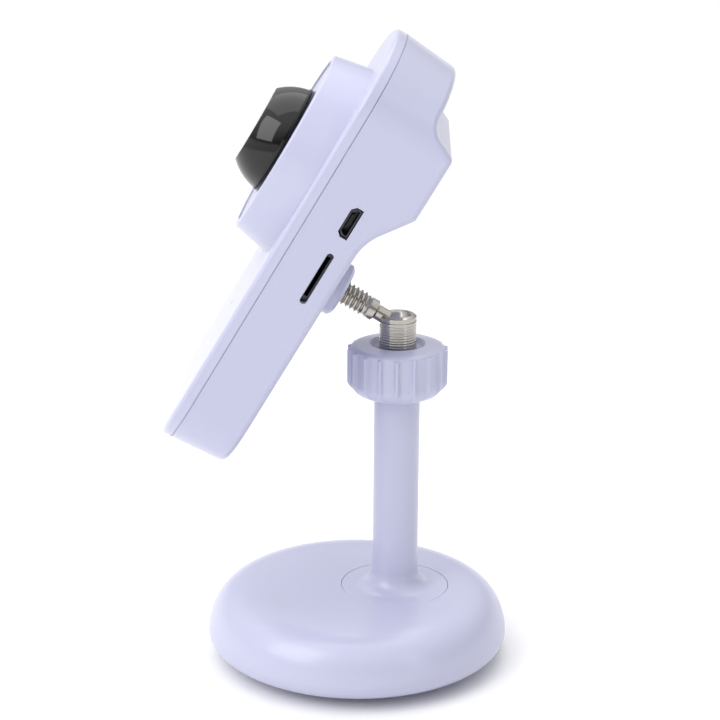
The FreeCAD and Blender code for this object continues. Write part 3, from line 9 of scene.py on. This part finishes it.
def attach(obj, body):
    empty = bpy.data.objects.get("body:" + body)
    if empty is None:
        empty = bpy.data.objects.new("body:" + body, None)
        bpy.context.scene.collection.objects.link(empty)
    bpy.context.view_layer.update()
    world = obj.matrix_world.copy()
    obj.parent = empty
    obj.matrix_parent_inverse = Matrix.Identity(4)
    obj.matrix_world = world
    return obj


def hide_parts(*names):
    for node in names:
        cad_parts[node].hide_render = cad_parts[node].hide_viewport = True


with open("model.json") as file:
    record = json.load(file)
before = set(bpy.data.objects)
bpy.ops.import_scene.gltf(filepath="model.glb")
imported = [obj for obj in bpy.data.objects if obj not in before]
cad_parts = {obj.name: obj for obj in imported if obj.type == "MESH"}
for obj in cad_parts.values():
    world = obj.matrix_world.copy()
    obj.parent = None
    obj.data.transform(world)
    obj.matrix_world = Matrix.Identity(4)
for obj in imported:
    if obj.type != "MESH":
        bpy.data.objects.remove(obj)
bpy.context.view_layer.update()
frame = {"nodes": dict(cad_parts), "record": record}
nodes = frame["nodes"]

MM = 0.001

# Frames the pieces are made in.  The ball joint's centre is shared by stand and head.
BALL = Vector((0, 10.0, 91.5)) * MM
HEAD_TILT = math.radians(30.6)
COLUMN_FRAME = Matrix.Translation(Vector((0, 10.0, 0)) * MM)
BALL_FRAME = Matrix.Translation(BALL)
HEAD_FRAME = BALL_FRAME @ Matrix.Rotation(-HEAD_TILT, 4, "X")
STUD_FRAME = HEAD_FRAME @ Matrix.Rotation(math.radians(90), 4, "X")

SHARP_EDGE = 35         # degrees between faces, above which an edge shows
SAME_PLACE = 1e-4       # millimetres within which two points are one
MIX_LOW, MIX_HIGH, MIX_RESULT = 6, 7, 2     # the colour sockets of a mix node


# --- materials ------------------------------------------------------------------------------------

def colour(code, alpha=1.0):
    """An sRGB hex colour as linear values."""
    channels = [int(code[i:i + 2], 16) / 255 for i in (1, 3, 5)]
    return [c / 12.92 if c <= 0.04045 else ((c + 0.055) / 1.055) ** 2.4 for c in channels] + [alpha]


def per_mm(size):
    """Texture scale at which one cell is so many millimetres wide."""
    return 1 / (size * MM)


def add(tree, kind, links=(), **settings):
    """A node with its settings; links are (socket, value or source), a source is (node, output)."""
    made = tree.nodes.new(kind)
    for name, value in settings.items():
        setattr(made, name, value)
    for socket, value in links:
        if isinstance(value, tuple):
            tree.links.new(value[0].outputs[value[1]], made.inputs[socket])
        else:
            made.inputs[socket].default_value = value
    return made


def surface(name, **shader):
    """A material with one Principled shader.

    Gives the material, its tree, the shader and the object's own coordinates.
    """
    made = bpy.data.materials.new(name)
    made.use_nodes = True
    tree = made.node_tree
    tree.nodes.clear()
    links = [(socket.replace("_", " "), value) for socket, value in shader.items()]
    body = add(tree, "ShaderNodeBsdfPrincipled", links)
    add(tree, "ShaderNodeOutputMaterial", [("Surface", (body, "BSDF"))])
    place = add(tree, "ShaderNodeTexCoord")
    return made, tree, body, (place, "Object")


def vary_colour(tree, body, place, size, low, high):
    """A soft change of colour from place to place, with patches of a given size in millimetres."""
    patches = add(tree, "ShaderNodeTexNoise",
                  [("Vector", place), ("Scale", per_mm(size)), ("Detail", 3.0)])
    shade = add(tree, "ShaderNodeMix", [("Factor", (patches, 0))], data_type="RGBA")
    shade.inputs[MIX_LOW].default_value = colour(low)
    shade.inputs[MIX_HIGH].default_value = colour(high)
    tree.links.new(shade.outputs[MIX_RESULT], body.inputs["Base Color"])


def vary_roughness(tree, body, place, size, low, high):
    """Patches handled more or less, so that the gloss is not the same all over."""
    patches = add(tree, "ShaderNodeTexNoise",
                  [("Vector", place), ("Scale", per_mm(size)), ("Detail", 1.0)])
    spread = add(tree, "ShaderNodeMapRange",
                 [("Value", (patches, 0)), ("From Min", 0.2), ("From Max", 0.8),
                  ("To Min", low), ("To Max", high)], interpolation_type="SMOOTHSTEP")
    tree.links.new(spread.outputs[0], body.inputs["Roughness"])


def raise_surface(tree, body, height, depth):
    """Bump from a height of 0 to 1, which is so many millimetres deep."""
    bump = add(tree, "ShaderNodeBump",
               [("Height", height), ("Distance", depth * MM), ("Strength", 1.0)])
    tree.links.new(bump.outputs[0], body.inputs["Normal"])


def moulded_abs():
    """ABS, injection moulded in a polished tool: pale lavender white, with a faint orange peel."""
    made, tree, body, place = surface("moulded_abs", IOR=1.53, Coat_Weight=0.25, Coat_Roughness=0.12)
    vary_colour(tree, body, place, 60, "#B6B8D1", "#B9BAD3")
    vary_roughness(tree, body, place, 60, 0.285, 0.33)
    peel = add(tree, "ShaderNodeTexNoise",
               [("Vector", place), ("Scale", per_mm(3)), ("Detail", 0.0)])
    raise_surface(tree, body, (peel, 0), 0.003)
    return made


def polished_polycarbonate():
    """Black polycarbonate that lets infrared through, polished: black with clear reflections."""
    made, tree, body, place = surface("polished_polycarbonate", IOR=1.49)
    vary_colour(tree, body, place, 12, "#020203", "#050506")
    vary_roughness(tree, body, place, 9, 0.04, 0.08)
    return made


def tinted_acrylic():
    """Dark tinted acrylic sheet, the flat window: clear and smooth, nearly black from outside."""
    made, tree, body, place = surface("tinted_acrylic", IOR=1.49, Transmission_Weight=0.85)
    vary_colour(tree, body, place, 10, "#3B3A44", "#45444E")
    vary_roughness(tree, body, place, 8, 0.01, 0.03)
    return made


def nickel_plate():
    """Bright nickel over turned steel: warm grey metal with a very fine grain."""
    made, tree, body, place = surface("nickel_plate", Metallic=1.0)
    vary_colour(tree, body, place, 3, "#A9A59F", "#BAB6B0")
    vary_roughness(tree, body, place, 2.5, 0.14, 0.24)
    grain = add(tree, "ShaderNodeTexNoise",
                [("Vector", place), ("Scale", per_mm(0.35)), ("Detail", 3.0)])
    raise_surface(tree, body, (grain, 0), 0.004)
    return made


def zinc_plate():
    """Steel screws, zinc plated: dull silver with a fine grain."""
    made, tree, body, place = surface("zinc_plate", Metallic=1.0)
    vary_colour(tree, body, place, 2, "#9EA3A8", "#B5B9BC")
    vary_roughness(tree, body, place, 1.5, 0.3, 0.42)
    return made


def phosphated_steel():
    """Pressed steel weight, phosphated: nearly black grey, matte and slightly mottled."""
    made, tree, body, place = surface("phosphated_steel", Metallic=0.8)
    vary_colour(tree, body, place, 4, "#35363A", "#46474B")
    vary_roughness(tree, body, place, 3, 0.5, 0.65)
    return made


def foam_rubber():
    """Closed cell rubber sheet, die cut: dark grey and matte, with small open pores."""
    made, tree, body, place = surface("foam_rubber", IOR=1.5)
    vary_colour(tree, body, place, 6, "#222226", "#2C2C30")
    vary_roughness(tree, body, place, 4, 0.8, 0.92)
    pores = add(tree, "ShaderNodeTexVoronoi", [("Vector", place), ("Scale", per_mm(0.7))])
    raise_surface(tree, body, (pores, 0), 0.06)
    return made


def turned_brass():
    """Brass insert, turned and knurled: yellow metal, a little dulled."""
    made, tree, body, place = surface("turned_brass", Metallic=1.0)
    vary_colour(tree, body, place, 3, "#B3945A", "#C7A76A")
    vary_roughness(tree, body, place, 2, 0.28, 0.35)
    return made


def solder_mask():
    """Glass epoxy board under green solder mask: copper tracks show as raised, lighter lines."""
    made, tree, body, place = surface("solder_mask", IOR=1.5)
    tracks = add(tree, "ShaderNodeTexVoronoi",
                 [("Vector", place), ("Scale", per_mm(3)), ("Randomness", 0.7)],
                 distance="MANHATTAN", feature="F1")
    lines = add(tree, "ShaderNodeMath", [(0, (tracks, 0)), (1, 0.16)], operation="PINGPONG")
    shade = add(tree, "ShaderNodeMix", [(0, (lines, 0))], data_type="RGBA")
    shade.inputs[MIX_LOW].default_value = colour("#0E4A26")
    shade.inputs[MIX_HIGH].default_value = colour("#2C7A48")
    tree.links.new(shade.outputs[MIX_RESULT], body.inputs["Base Color"])
    vary_roughness(tree, body, place, 5, 0.3, 0.4)
    raise_surface(tree, body, (lines, 0), 0.1)
    return made


def sparked_plastic():
    """Black moulded plastic from a spark-eroded tool: matte, with an even fine grain."""
    made, tree, body, place = surface("sparked_plastic", IOR=1.5)
    vary_colour(tree, body, place, 8, "#101012", "#18181B")
    vary_roughness(tree, body, place, 3, 0.5, 0.62)
    grain = add(tree, "ShaderNodeTexNoise",
                [("Vector", place), ("Scale", per_mm(0.5)), ("Detail", 2.0)])
    raise_surface(tree, body, (grain, 0), 0.02)
    return made


def tin_plate():
    """Tin plated steel sheet, stamped, folded and gone dull: dark grey, with faint rolling marks."""
    made, tree, body, place = surface("tin_plate", Metallic=1.0)
    vary_colour(tree, body, place, 3, "#3E3E41", "#4C4C4F")
    vary_roughness(tree, body, place, 2, 0.28, 0.36)
    return made


def tinted_epoxy():
    """Cast epoxy of the infrared lamps: clear with a violet grey tint."""
    made, tree, body, place = surface("tinted_epoxy", IOR=1.52, Transmission_Weight=0.7)
    vary_colour(tree, body, place, 2, "#8E88A2", "#A49EB5")
    vary_roughness(tree, body, place, 1.5, 0.04, 0.1)
    return made


def coated_glass():
    """Lens glass, ground and coated: clear, with a violet shine."""
    made, tree, body, place = surface("coated_glass", IOR=1.6, Transmission_Weight=0.9,
                                      Coat_Weight=0.6, Coat_Tint=colour("#8A6BFF"),
                                      Coat_Roughness=0.02)
    vary_colour(tree, body, place, 4, "#6C6480", "#7A7290")
    vary_roughness(tree, body, place, 3, 0.0, 0.02)
    return made


def natural_nylon():
    """Nylon 6, moulded and left uncoloured: milky and slightly waxy."""
    made, tree, body, place = surface("natural_nylon", IOR=1.53)
    vary_colour(tree, body, place, 6, "#DAD8CC", "#E3E1D6")
    vary_roughness(tree, body, place, 4, 0.4, 0.5)
    return made


def polyimide_film():
    """Flexible circuit on polyimide film: amber brown and smooth."""
    made, tree, body, place = surface("polyimide_film", IOR=1.7)
    vary_colour(tree, body, place, 4, "#8A5A1E", "#9C6A28")
    vary_roughness(tree, body, place, 3, 0.28, 0.35)
    return made


FINISHES = {
    "white_plastic": moulded_abs(),
    "dome_plastic": polished_polycarbonate(),
    "window": tinted_acrylic(),
    "nickel": nickel_plate(),
    "screw_steel": zinc_plate(),
    "ballast_iron": phosphated_steel(),
    "pad_rubber": foam_rubber(),
    "insert_brass": turned_brass(),
    "circuit_board": solder_mask(),
    "black_plastic": sparked_plastic(),
    "tin_plate": tin_plate(),
    "led_lens": tinted_epoxy(),
    "lens_glass": coated_glass(),
    "nylon": natural_nylon(),
    "flex_film": polyimide_film(),
}

for entry in frame["record"]["subparts"]:
    skins = nodes[entry["node"]].data.materials
    skins.clear()
    skins.append(FINISHES[entry["material_slot"]])


# --- making pieces --------------------------------------------------------------------------------

def rounded_profile(corners, steps=8):
    """Points along an outline of (radius, height) or (radius, height, rounding), in millimetres."""
    points = []
    for i, corner in enumerate(corners):
        here = Vector(corner[:2])
        if len(corner) < 3 or i in (0, len(corners) - 1):
            points.append(here)
            continue
        before = (Vector(corners[i - 1][:2]) - here).normalized()
        after = (Vector(corners[i + 1][:2]) - here).normalized()
        half = before.angle(after) / 2
        run = corner[2] / math.tan(half)
        centre = here + (before + after).normalized() * (corner[2] / math.sin(half))
        start, end = here + before * run - centre, here + after * run - centre
        turn = start.angle_signed(end)
        for k in range(steps + 1):
            arm = Matrix.Rotation(-turn * k / steps, 2) @ start
            points.append(centre + arm)
    return points


def arc_points(centre, radius, first, last, steps):
    """Points of (radius, height) on an arc round a centre; bearings in degrees from the axis."""
    bearings = [math.radians(first + (last - first) * k / steps) for k in range(steps + 1)]
    return [Vector((centre[0] + radius * math.sin(b), centre[1] + radius * math.cos(b)))
            for b in bearings]


def finish_piece(mesh_data, name, place, body, slot, replaced):
    """Place a mesh, smooth it, give it its finish and hang it on its body."""
    mesh_data.transform(Matrix.Scale(MM, 4))
    mesh_data.transform(place)
    mesh_data.validate()
    for face in mesh_data.polygons:
        face.use_smooth = True
    mesh_data.set_sharp_from_angle(angle=math.radians(SHARP_EDGE))
    piece = bpy.data.objects.new(name, mesh_data)
    bpy.context.scene.collection.objects.link(piece)
    mesh_data.materials.append(FINISHES[slot])
    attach(piece, body)
    if replaced:
        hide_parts(*replaced)


def turned_mesh(name, points, sides=128, swell=None):
    """A closed turned mesh from points of (radius, height).

    swell gives what is added to a point's radius at a bearing.
    """
    made = bmesh.new()
    rings = []
    for point in points:
        if point[0] < SAME_PLACE:
            rings.append([made.verts.new((0, 0, point[1]))])
            continue
        ring = []
        for k in range(sides):
            bearing = 2 * math.pi * k / sides
            radius = point[0] + (swell(bearing, point) if swell else 0)
            ring.append(made.verts.new((radius * math.cos(bearing), radius * math.sin(bearing),
                                        point[1])))
        rings.append(ring)
    pairs = list(zip(rings, rings[1:]))
    if len(rings[0]) > 1:
        pairs.append((rings[-1], rings[0]))
    for low, high in pairs:
        for k in range(sides):
            corners = [low[k % len(low)], low[(k + 1) % len(low)],
                       high[(k + 1) % len(high)], high[k % len(high)]]
            distinct = []
            for corner in corners:
                if corner not in distinct:
                    distinct.append(corner)
            if len(distinct) > 2:
                made.faces.new(distinct)
    bmesh.ops.recalc_face_normals(made, faces=made.faces)
    mesh_data = bpy.data.meshes.new(name)
    made.to_mesh(mesh_data)
    made.free()
    return mesh_data


# --- the metal ball joint -------------------------------------------------------------------------

def stud_thread(first, last):
    """A quarter inch camera thread as one helical ridge that fades out at both ends."""
    major, pitch, depth, sides = 6.35, 1.27, 0.62, 72
    crest, root = major / 2, major / 2 - depth
    foot, flank, land = 0.45, 0.36, 0.09
    root_rise, crest_fall = 0.08, 0.03
    fade_in, fade_out = 0.7, 0.9
    ridge = [(-foot, root), (-flank, root + root_rise), (-land, crest - crest_fall), (0, crest),
             (land, crest - crest_fall), (flank, root + root_rise), (foot, root)]
    made = bmesh.new()
    columns = []
    for step in range(int((last - first) / pitch + 2) * sides):
        bearing = 2 * math.pi * step / sides
        column = []
        for offset, radius in ridge:
            reach = min(max(first + (step / sides - 1) * pitch + offset, first), last)
            fade = min(1, (reach - first) / fade_in, (last - reach) / fade_out)
            radius = root + (radius - root) * fade
            column.append(made.verts.new((radius * math.cos(bearing), radius * math.sin(bearing),
                                          reach)))
        columns.append(column)
    for step in range(len(columns) - 1):
        here, following = columns[step], columns[step + 1]
        for k in range(len(ridge) - 1):
            made.faces.new((here[k], following[k], following[k + 1], here[k + 1]))
        if step + 1 + sides < len(columns):
            made.faces.new((here[-1], following[-1],
                            columns[step + 1 + sides][0], columns[step + sides][0]))
    bmesh.ops.remove_doubles(made, verts=made.verts, dist=SAME_PLACE)
    bmesh.ops.dissolve_degenerate(made, dist=SAME_PLACE, edges=made.edges)
    bmesh.ops.holes_fill(made, edges=[edge for edge in made.edges if edge.is_boundary])
    bmesh.ops.recalc_face_normals(made, faces=made.faces)
    mesh_data = bpy.data.meshes.new("stud_thread")
    made.to_mesh(mesh_data)
    made.free()
    return mesh_data


def ball_stud():
    """Ball, neck, shoulder and camera thread, turned in one."""
    ball, neck, shoulder, core = 3.7, 2.0, 2.8, 2.55
    neck_end, shoulder_start, shoulder_end = 6.5, 7.0, 8.9
    thread_start, thread_end, shank_end = 9.4, 22.9, 23.0
    bevel_foot = (2.56, 9.35)
    inner_round, outer_round = 0.15, 0.12
    foot = math.degrees(math.asin(neck / ball))
    profile = arc_points((0, 0), ball, 180, foot, 40)
    profile[0] = Vector((0, -ball))
    profile += rounded_profile([(neck, math.sqrt(ball ** 2 - neck ** 2)),
                                (neck, neck_end, inner_round),
                                (shoulder, shoulder_start, outer_round),
                                (shoulder, shoulder_end, outer_round), bevel_foot])[1:]
    profile += [Vector((core, thread_start)), Vector((core, shank_end)), Vector((0, shank_end))]
    finish_piece(turned_mesh("stud_shank", profile, 96), "stud_shank", STUD_FRAME, "stud",
                 "nickel", ["ball_stud"])
    finish_piece(stud_thread(thread_start, thread_end), "stud_thread", STUD_FRAME, "stud",
                 "nickel", [])


def ball_cup():
    """The turned cup: a bevelled rim, a groove, fine tool rings and a slot for the neck."""
    cup, wall, low, neck_room = 3.8, 4.85, -12.9, 2.2
    bevel_end, groove_high, groove_low, groove_depth, groove_edge = 2.35, 1.6, 1.15, 0.25, 0.06
    ring_count, ring_steps, ring_top, ring_pitch, ring_depth = 9, 8, 0.8, 0.68, 0.03
    plain_end, stem, stem_end = -6.0, 3.0, -26.9
    slot_size, slot_floor, slot_round = (4.3, 8, 6), 0.25, 0.12
    lip = math.degrees(math.atan2(math.sqrt(cup ** 2 - neck_room ** 2), neck_room))
    profile = arc_points((0, 0), cup, 180, lip, 32)
    profile[0] = Vector((0, -cup))
    outside = [(profile[-1][0], profile[-1][1]), (3.55, 2.75, 0.12), (4.15, 2.8, 0.15),
               (wall, bevel_end, 0.15), (wall, groove_high + groove_edge, 0.06),
               (wall - groove_depth, groove_high, 0.04), (wall - groove_depth, groove_low, 0.04),
               (wall, groove_low - groove_edge, 0.06), (wall, ring_top)]
    profile += rounded_profile(outside, 5)[1:]
    for k in range(ring_count * ring_steps + 1):
        cut_in = ring_depth * (1 - math.cos(2 * math.pi * k / ring_steps))
        profile.append(Vector((wall - cut_in, ring_top - ring_pitch * k / ring_steps)))
    profile += rounded_profile([(wall, plain_end), (wall, low, 0.3), (stem, low, 0.1),
                                (stem, stem_end, 0.3), (0, stem_end)], 5)
    plain = bpy.data.objects.new("cup_turned", turned_mesh("cup_turned", profile, 144))
    cutter_mesh = bpy.data.meshes.new("slot_cutter")
    made = bmesh.new()
    bmesh.ops.create_cube(made, size=1)
    bmesh.ops.scale(made, vec=slot_size, verts=made.verts)
    bmesh.ops.translate(made, vec=(0, -slot_size[1] / 2, slot_size[2] / 2 - slot_floor),
                        verts=made.verts)
    bmesh.ops.bevel(made, geom=[edge for edge in made.edges], offset=slot_round, segments=2,
                    affect="EDGES")
    made.to_mesh(cutter_mesh)
    made.free()
    cutter = bpy.data.objects.new("slot_cutter", cutter_mesh)
    for piece in (plain, cutter):
        bpy.context.scene.collection.objects.link(piece)
    cut = plain.modifiers.new("slot", "BOOLEAN")
    cut.operation, cut.object, cut.solver = "DIFFERENCE", cutter, "EXACT"
    bpy.context.view_layer.update()
    evaluated = plain.evaluated_get(bpy.context.evaluated_depsgraph_get())
    mesh_data = bpy.data.meshes.new_from_object(evaluated)
    for piece in (plain, cutter):
        bpy.data.objects.remove(piece)
    finish_piece(mesh_data, "ball_cup", BALL_FRAME, "socket", "nickel", ["ball_socket"])


# --- the locking collar ---------------------------------------------------------------------------

def smooth_step(value):
    """A soft step from 0 to 1."""
    value = min(1, max(0, value))
    return value * value * (3 - 2 * value)


def grip_rib(bearing, point):
    """How far one of the collar's ribs stands out at a place on its side."""
    ribs, width, height, edge = 18, 1.0, 1.0, 0.75
    innermost, outer_radius = 9, 12.6
    foot, foot_run, end, end_run = 73.6, 3.2, 85.35, 0.3
    if point[0] < innermost:
        return 0
    pitch = 2 * math.pi / ribs
    offset = abs((bearing + pitch / 2) % pitch - pitch / 2) * outer_radius
    across = smooth_step((width / 2 + edge / 2 - offset) / edge)
    along = smooth_step((point[1] - foot) / foot_run) * smooth_step((end - point[1]) / end_run)
    return height * across * along


def collar():
    """The ribbed collar: a softly domed top that sinks to the cup, and a rounded lower edge."""
    foot, curve_foot, curve_end, top_edge = 72.4, 72.8, 76.4, 85.0
    side_radius, curve_radius, lower_bore, upper_bore, mouth = 12.2, 8.9, 6.1, 8.1, 5.2
    curve_out, curve_up, curve_steps, side_steps, side_height = 3.3, 3.6, 14, 24, 8.6
    ledge, ceiling = 78.1, 83.9
    lower = [Vector((curve_radius + curve_out * math.sin(k * math.pi / (2 * curve_steps)),
                     curve_end - curve_up * math.cos(k * math.pi / (2 * curve_steps))))
             for k in range(curve_steps + 1)]
    bottom = rounded_profile([(lower_bore, foot), (8.5, foot, 0.25),
                              (curve_radius, curve_foot)], 6) + lower[1:]
    side = [Vector((side_radius, curve_end + side_height * k / side_steps))
            for k in range(1, side_steps)]
    top = rounded_profile([(side_radius, top_edge), (side_radius, 85.55, 0.5), (11.2, 86.0, 1.2),
                           (7.3, 86.55, 0.5), (6.3, 85.3, 0.5), (mouth, 84.6, 0.1),
                           (mouth, ceiling)], 8)
    inside = [Vector(p) for p in ((upper_bore, ceiling), (upper_bore, ledge), (lower_bore, ledge))]
    finish_piece(turned_mesh("collar", bottom + side + top + inside, 720, grip_rib),
                 "grip_collar", COLUMN_FRAME, "collar", "white_plastic", ["locking_collar"])


# --- the column -----------------------------------------------------------------------------------

def post():
    """The column with its hollow foot fillet and round flange."""
    outside, foot_fillet, low_bore, high_bore = 6.0, 4.8, 4.2, 3.06
    flange_low, flange_high, column_top, bore_step = 15.45, 18.7, 78.4, 64.5
    profile = rounded_profile([(low_bore, flange_low), (14.25, flange_low), (14.3, 18.65, 0.18),
                               (13.9, flange_high, 0.1), (outside, flange_high, foot_fillet),
                               (outside, column_top, 0.15), (high_bore, column_top),
                               (high_bore, bore_step), (low_bore, bore_step)], 16)
    finish_piece(turned_mesh("post", profile, 160), "post", COLUMN_FRAME, "stand",
                 "white_plastic", ["column"])


# --- the lip between the head's covers ------------------------------------------------------------

def head_outline(inset, steps=24):
    """The head from the front, moved inwards: points of (across, up), in millimetres."""
    half_width, end_radius, corner_radius, head_top, head_bottom = 28.0, 46.0, 16.0, 64.7, 54.6
    side, bulge, corner = half_width - inset, end_radius - inset, corner_radius - inset
    lift = math.sqrt((bulge - corner) ** 2 - (side - corner) ** 2)
    bearing = math.atan2(lift, side - corner)
    points = []
    for centre, sign in ((head_top - end_radius, 1), (end_radius - head_bottom, -1)):
        half = [Vector((side - corner + corner * math.cos(bearing * k / steps),
                        centre + sign * (lift + corner * math.sin(bearing * k / steps))))
                for k in range(steps)]
        spread = math.pi / 2 - bearing
        half += [Vector((bulge * math.cos(bearing + spread * k / steps),
                         centre + sign * bulge * math.sin(bearing + spread * k / steps)))
                 for k in range(steps + 1)]
        whole = half + [Vector((-point[0], point[1])) for point in reversed(half[:-1])]
        points += whole if sign == 1 else list(reversed(whole))
    return points


def cover_lip():
    """The front cover's locating lip, which shows as the floor of the shadow gap."""
    outer, inner, back, front = 0.3, 1.2, 36.2, 36.9
    made = bmesh.new()
    rings = [[made.verts.new((point[0], -reach, point[1])) for point in head_outline(inset)]
             for inset, reach in ((outer, back), (outer, front), (inner, front), (inner, back))]
    for ring, following in zip(rings, rings[1:] + rings[:1]):
        for k in range(len(ring)):
            made.faces.new((ring[k - 1], ring[k], following[k], following[k - 1]))
    bmesh.ops.recalc_face_normals(made, faces=made.faces)
    mesh_data = bpy.data.meshes.new("cover_lip")
    made.to_mesh(mesh_data)
    made.free()
    finish_piece(mesh_data, "cover_lip", HEAD_FRAME, "head", "white_plastic", [])


cover_lip()
ball_stud()
ball_cup()
collar()
post()


# --- floor, lights and camera ---------------------------------------------------------------------

def table_top():
    """Satin white laminate, a table seen from close by."""
    made, tree, body, place = surface("table_laminate", IOR=1.45)
    vary_colour(tree, body, place, 400, "#F2F2F2", "#F4F4F4")
    vary_roughness(tree, body, place, 60, 0.55, 0.62)
    floor_mesh = bpy.data.meshes.new("table_top")
    half = 6.0
    corners = [(-half, -half, 0), (half, -half, 0), (half, half, 0), (-half, half, 0)]
    floor_mesh.from_pydata(corners, [], [(0, 1, 2, 3)])
    floor = bpy.data.objects.new("table_top", floor_mesh)
    bpy.context.scene.collection.objects.link(floor)
    floor_mesh.materials.append(made)


def soft_light(name, place, aim, width, height, power):
    """A softbox that looks at a point."""
    lamp = bpy.data.lights.new(name, "AREA")
    lamp.shape = "RECTANGLE"
    lamp.size, lamp.size_y = width, height
    lamp.energy = power
    box = bpy.data.objects.new(name, lamp)
    box.location = place
    box.rotation_euler = (Vector(aim) - Vector(place)).to_track_quat("-Z", "Y").to_euler()
    bpy.context.scene.collection.objects.link(box)


def studio():
    """A studio, brightest overhead, with a low white wall all round and three softboxes."""
    world = bpy.data.worlds.new("studio_room")
    world.use_nodes = True
    tree = world.node_tree
    sky = tree.nodes["Background"]
    place = add(tree, "ShaderNodeTexCoord")
    towards = Vector((-0.1, -0.15, 1.0)).normalized()
    facing = add(tree, "ShaderNodeVectorMath", [(0, (place, "Generated")), (1, towards)],
                 operation="DOT_PRODUCT")
    glow = add(tree, "ShaderNodeMapRange",
               [("Value", (facing, "Value")), ("From Min", -0.05), ("From Max", 0.9),
                ("To Min", 0.1), ("To Max", 1.3)], interpolation_type="SMOOTHSTEP")
    upward = add(tree, "ShaderNodeSeparateXYZ", [("Vector", (place, "Generated"))])
    wall = add(tree, "ShaderNodeMapRange",
               [("Value", (upward, "Z")), ("From Min", 0.1), ("From Max", 0.2),
                ("To Min", 0.8), ("To Max", 0.0)], interpolation_type="SMOOTHSTEP")
    room = add(tree, "ShaderNodeMath", [(0, (glow, 0)), (1, (wall, 0))], operation="ADD")
    sky.inputs["Color"].default_value = (1, 1, 1, 1)
    tree.links.new(room.outputs[0], sky.inputs["Strength"])
    bpy.context.scene.world = world
    aim = (0, 0, 0.09)
    soft_light("key_box", (0.6, -0.8, 0.8), aim, 0.8, 0.9, 6.5)
    soft_light("top_box", (-0.3, -0.1, 1.2), aim, 1.2, 1.2, 4.5)
    soft_light("side_box", (0.7, 0.75, 0.45), aim, 0.2, 0.7, 0.6)


def camera():
    """A long lens a little above the table, looking at the side of the object."""
    azimuth, pitch, roll = math.radians(91.5), math.radians(17.376), math.radians(0.42)
    distance = 0.5201
    back = Vector((math.sin(azimuth) * math.cos(pitch), -math.cos(azimuth) * math.cos(pitch),
                   math.sin(pitch)))
    target = Vector((0, 0.000245, 0.0816))
    eye = bpy.data.cameras.new("camera")
    eye.lens, eye.sensor_width = 100, 36
    made = bpy.data.objects.new("camera", eye)
    made.location = target + back * distance
    aimed = back.to_track_quat("Z", "Y").to_matrix().to_4x4()
    made.rotation_euler = (aimed @ Matrix.Rotation(roll, 4, "Z")).to_euler()
    bpy.context.scene.collection.objects.link(made)
    bpy.context.scene.camera = made


table_top()
studio()
camera()
bpy.context.scene.view_settings.view_transform = "Standard"
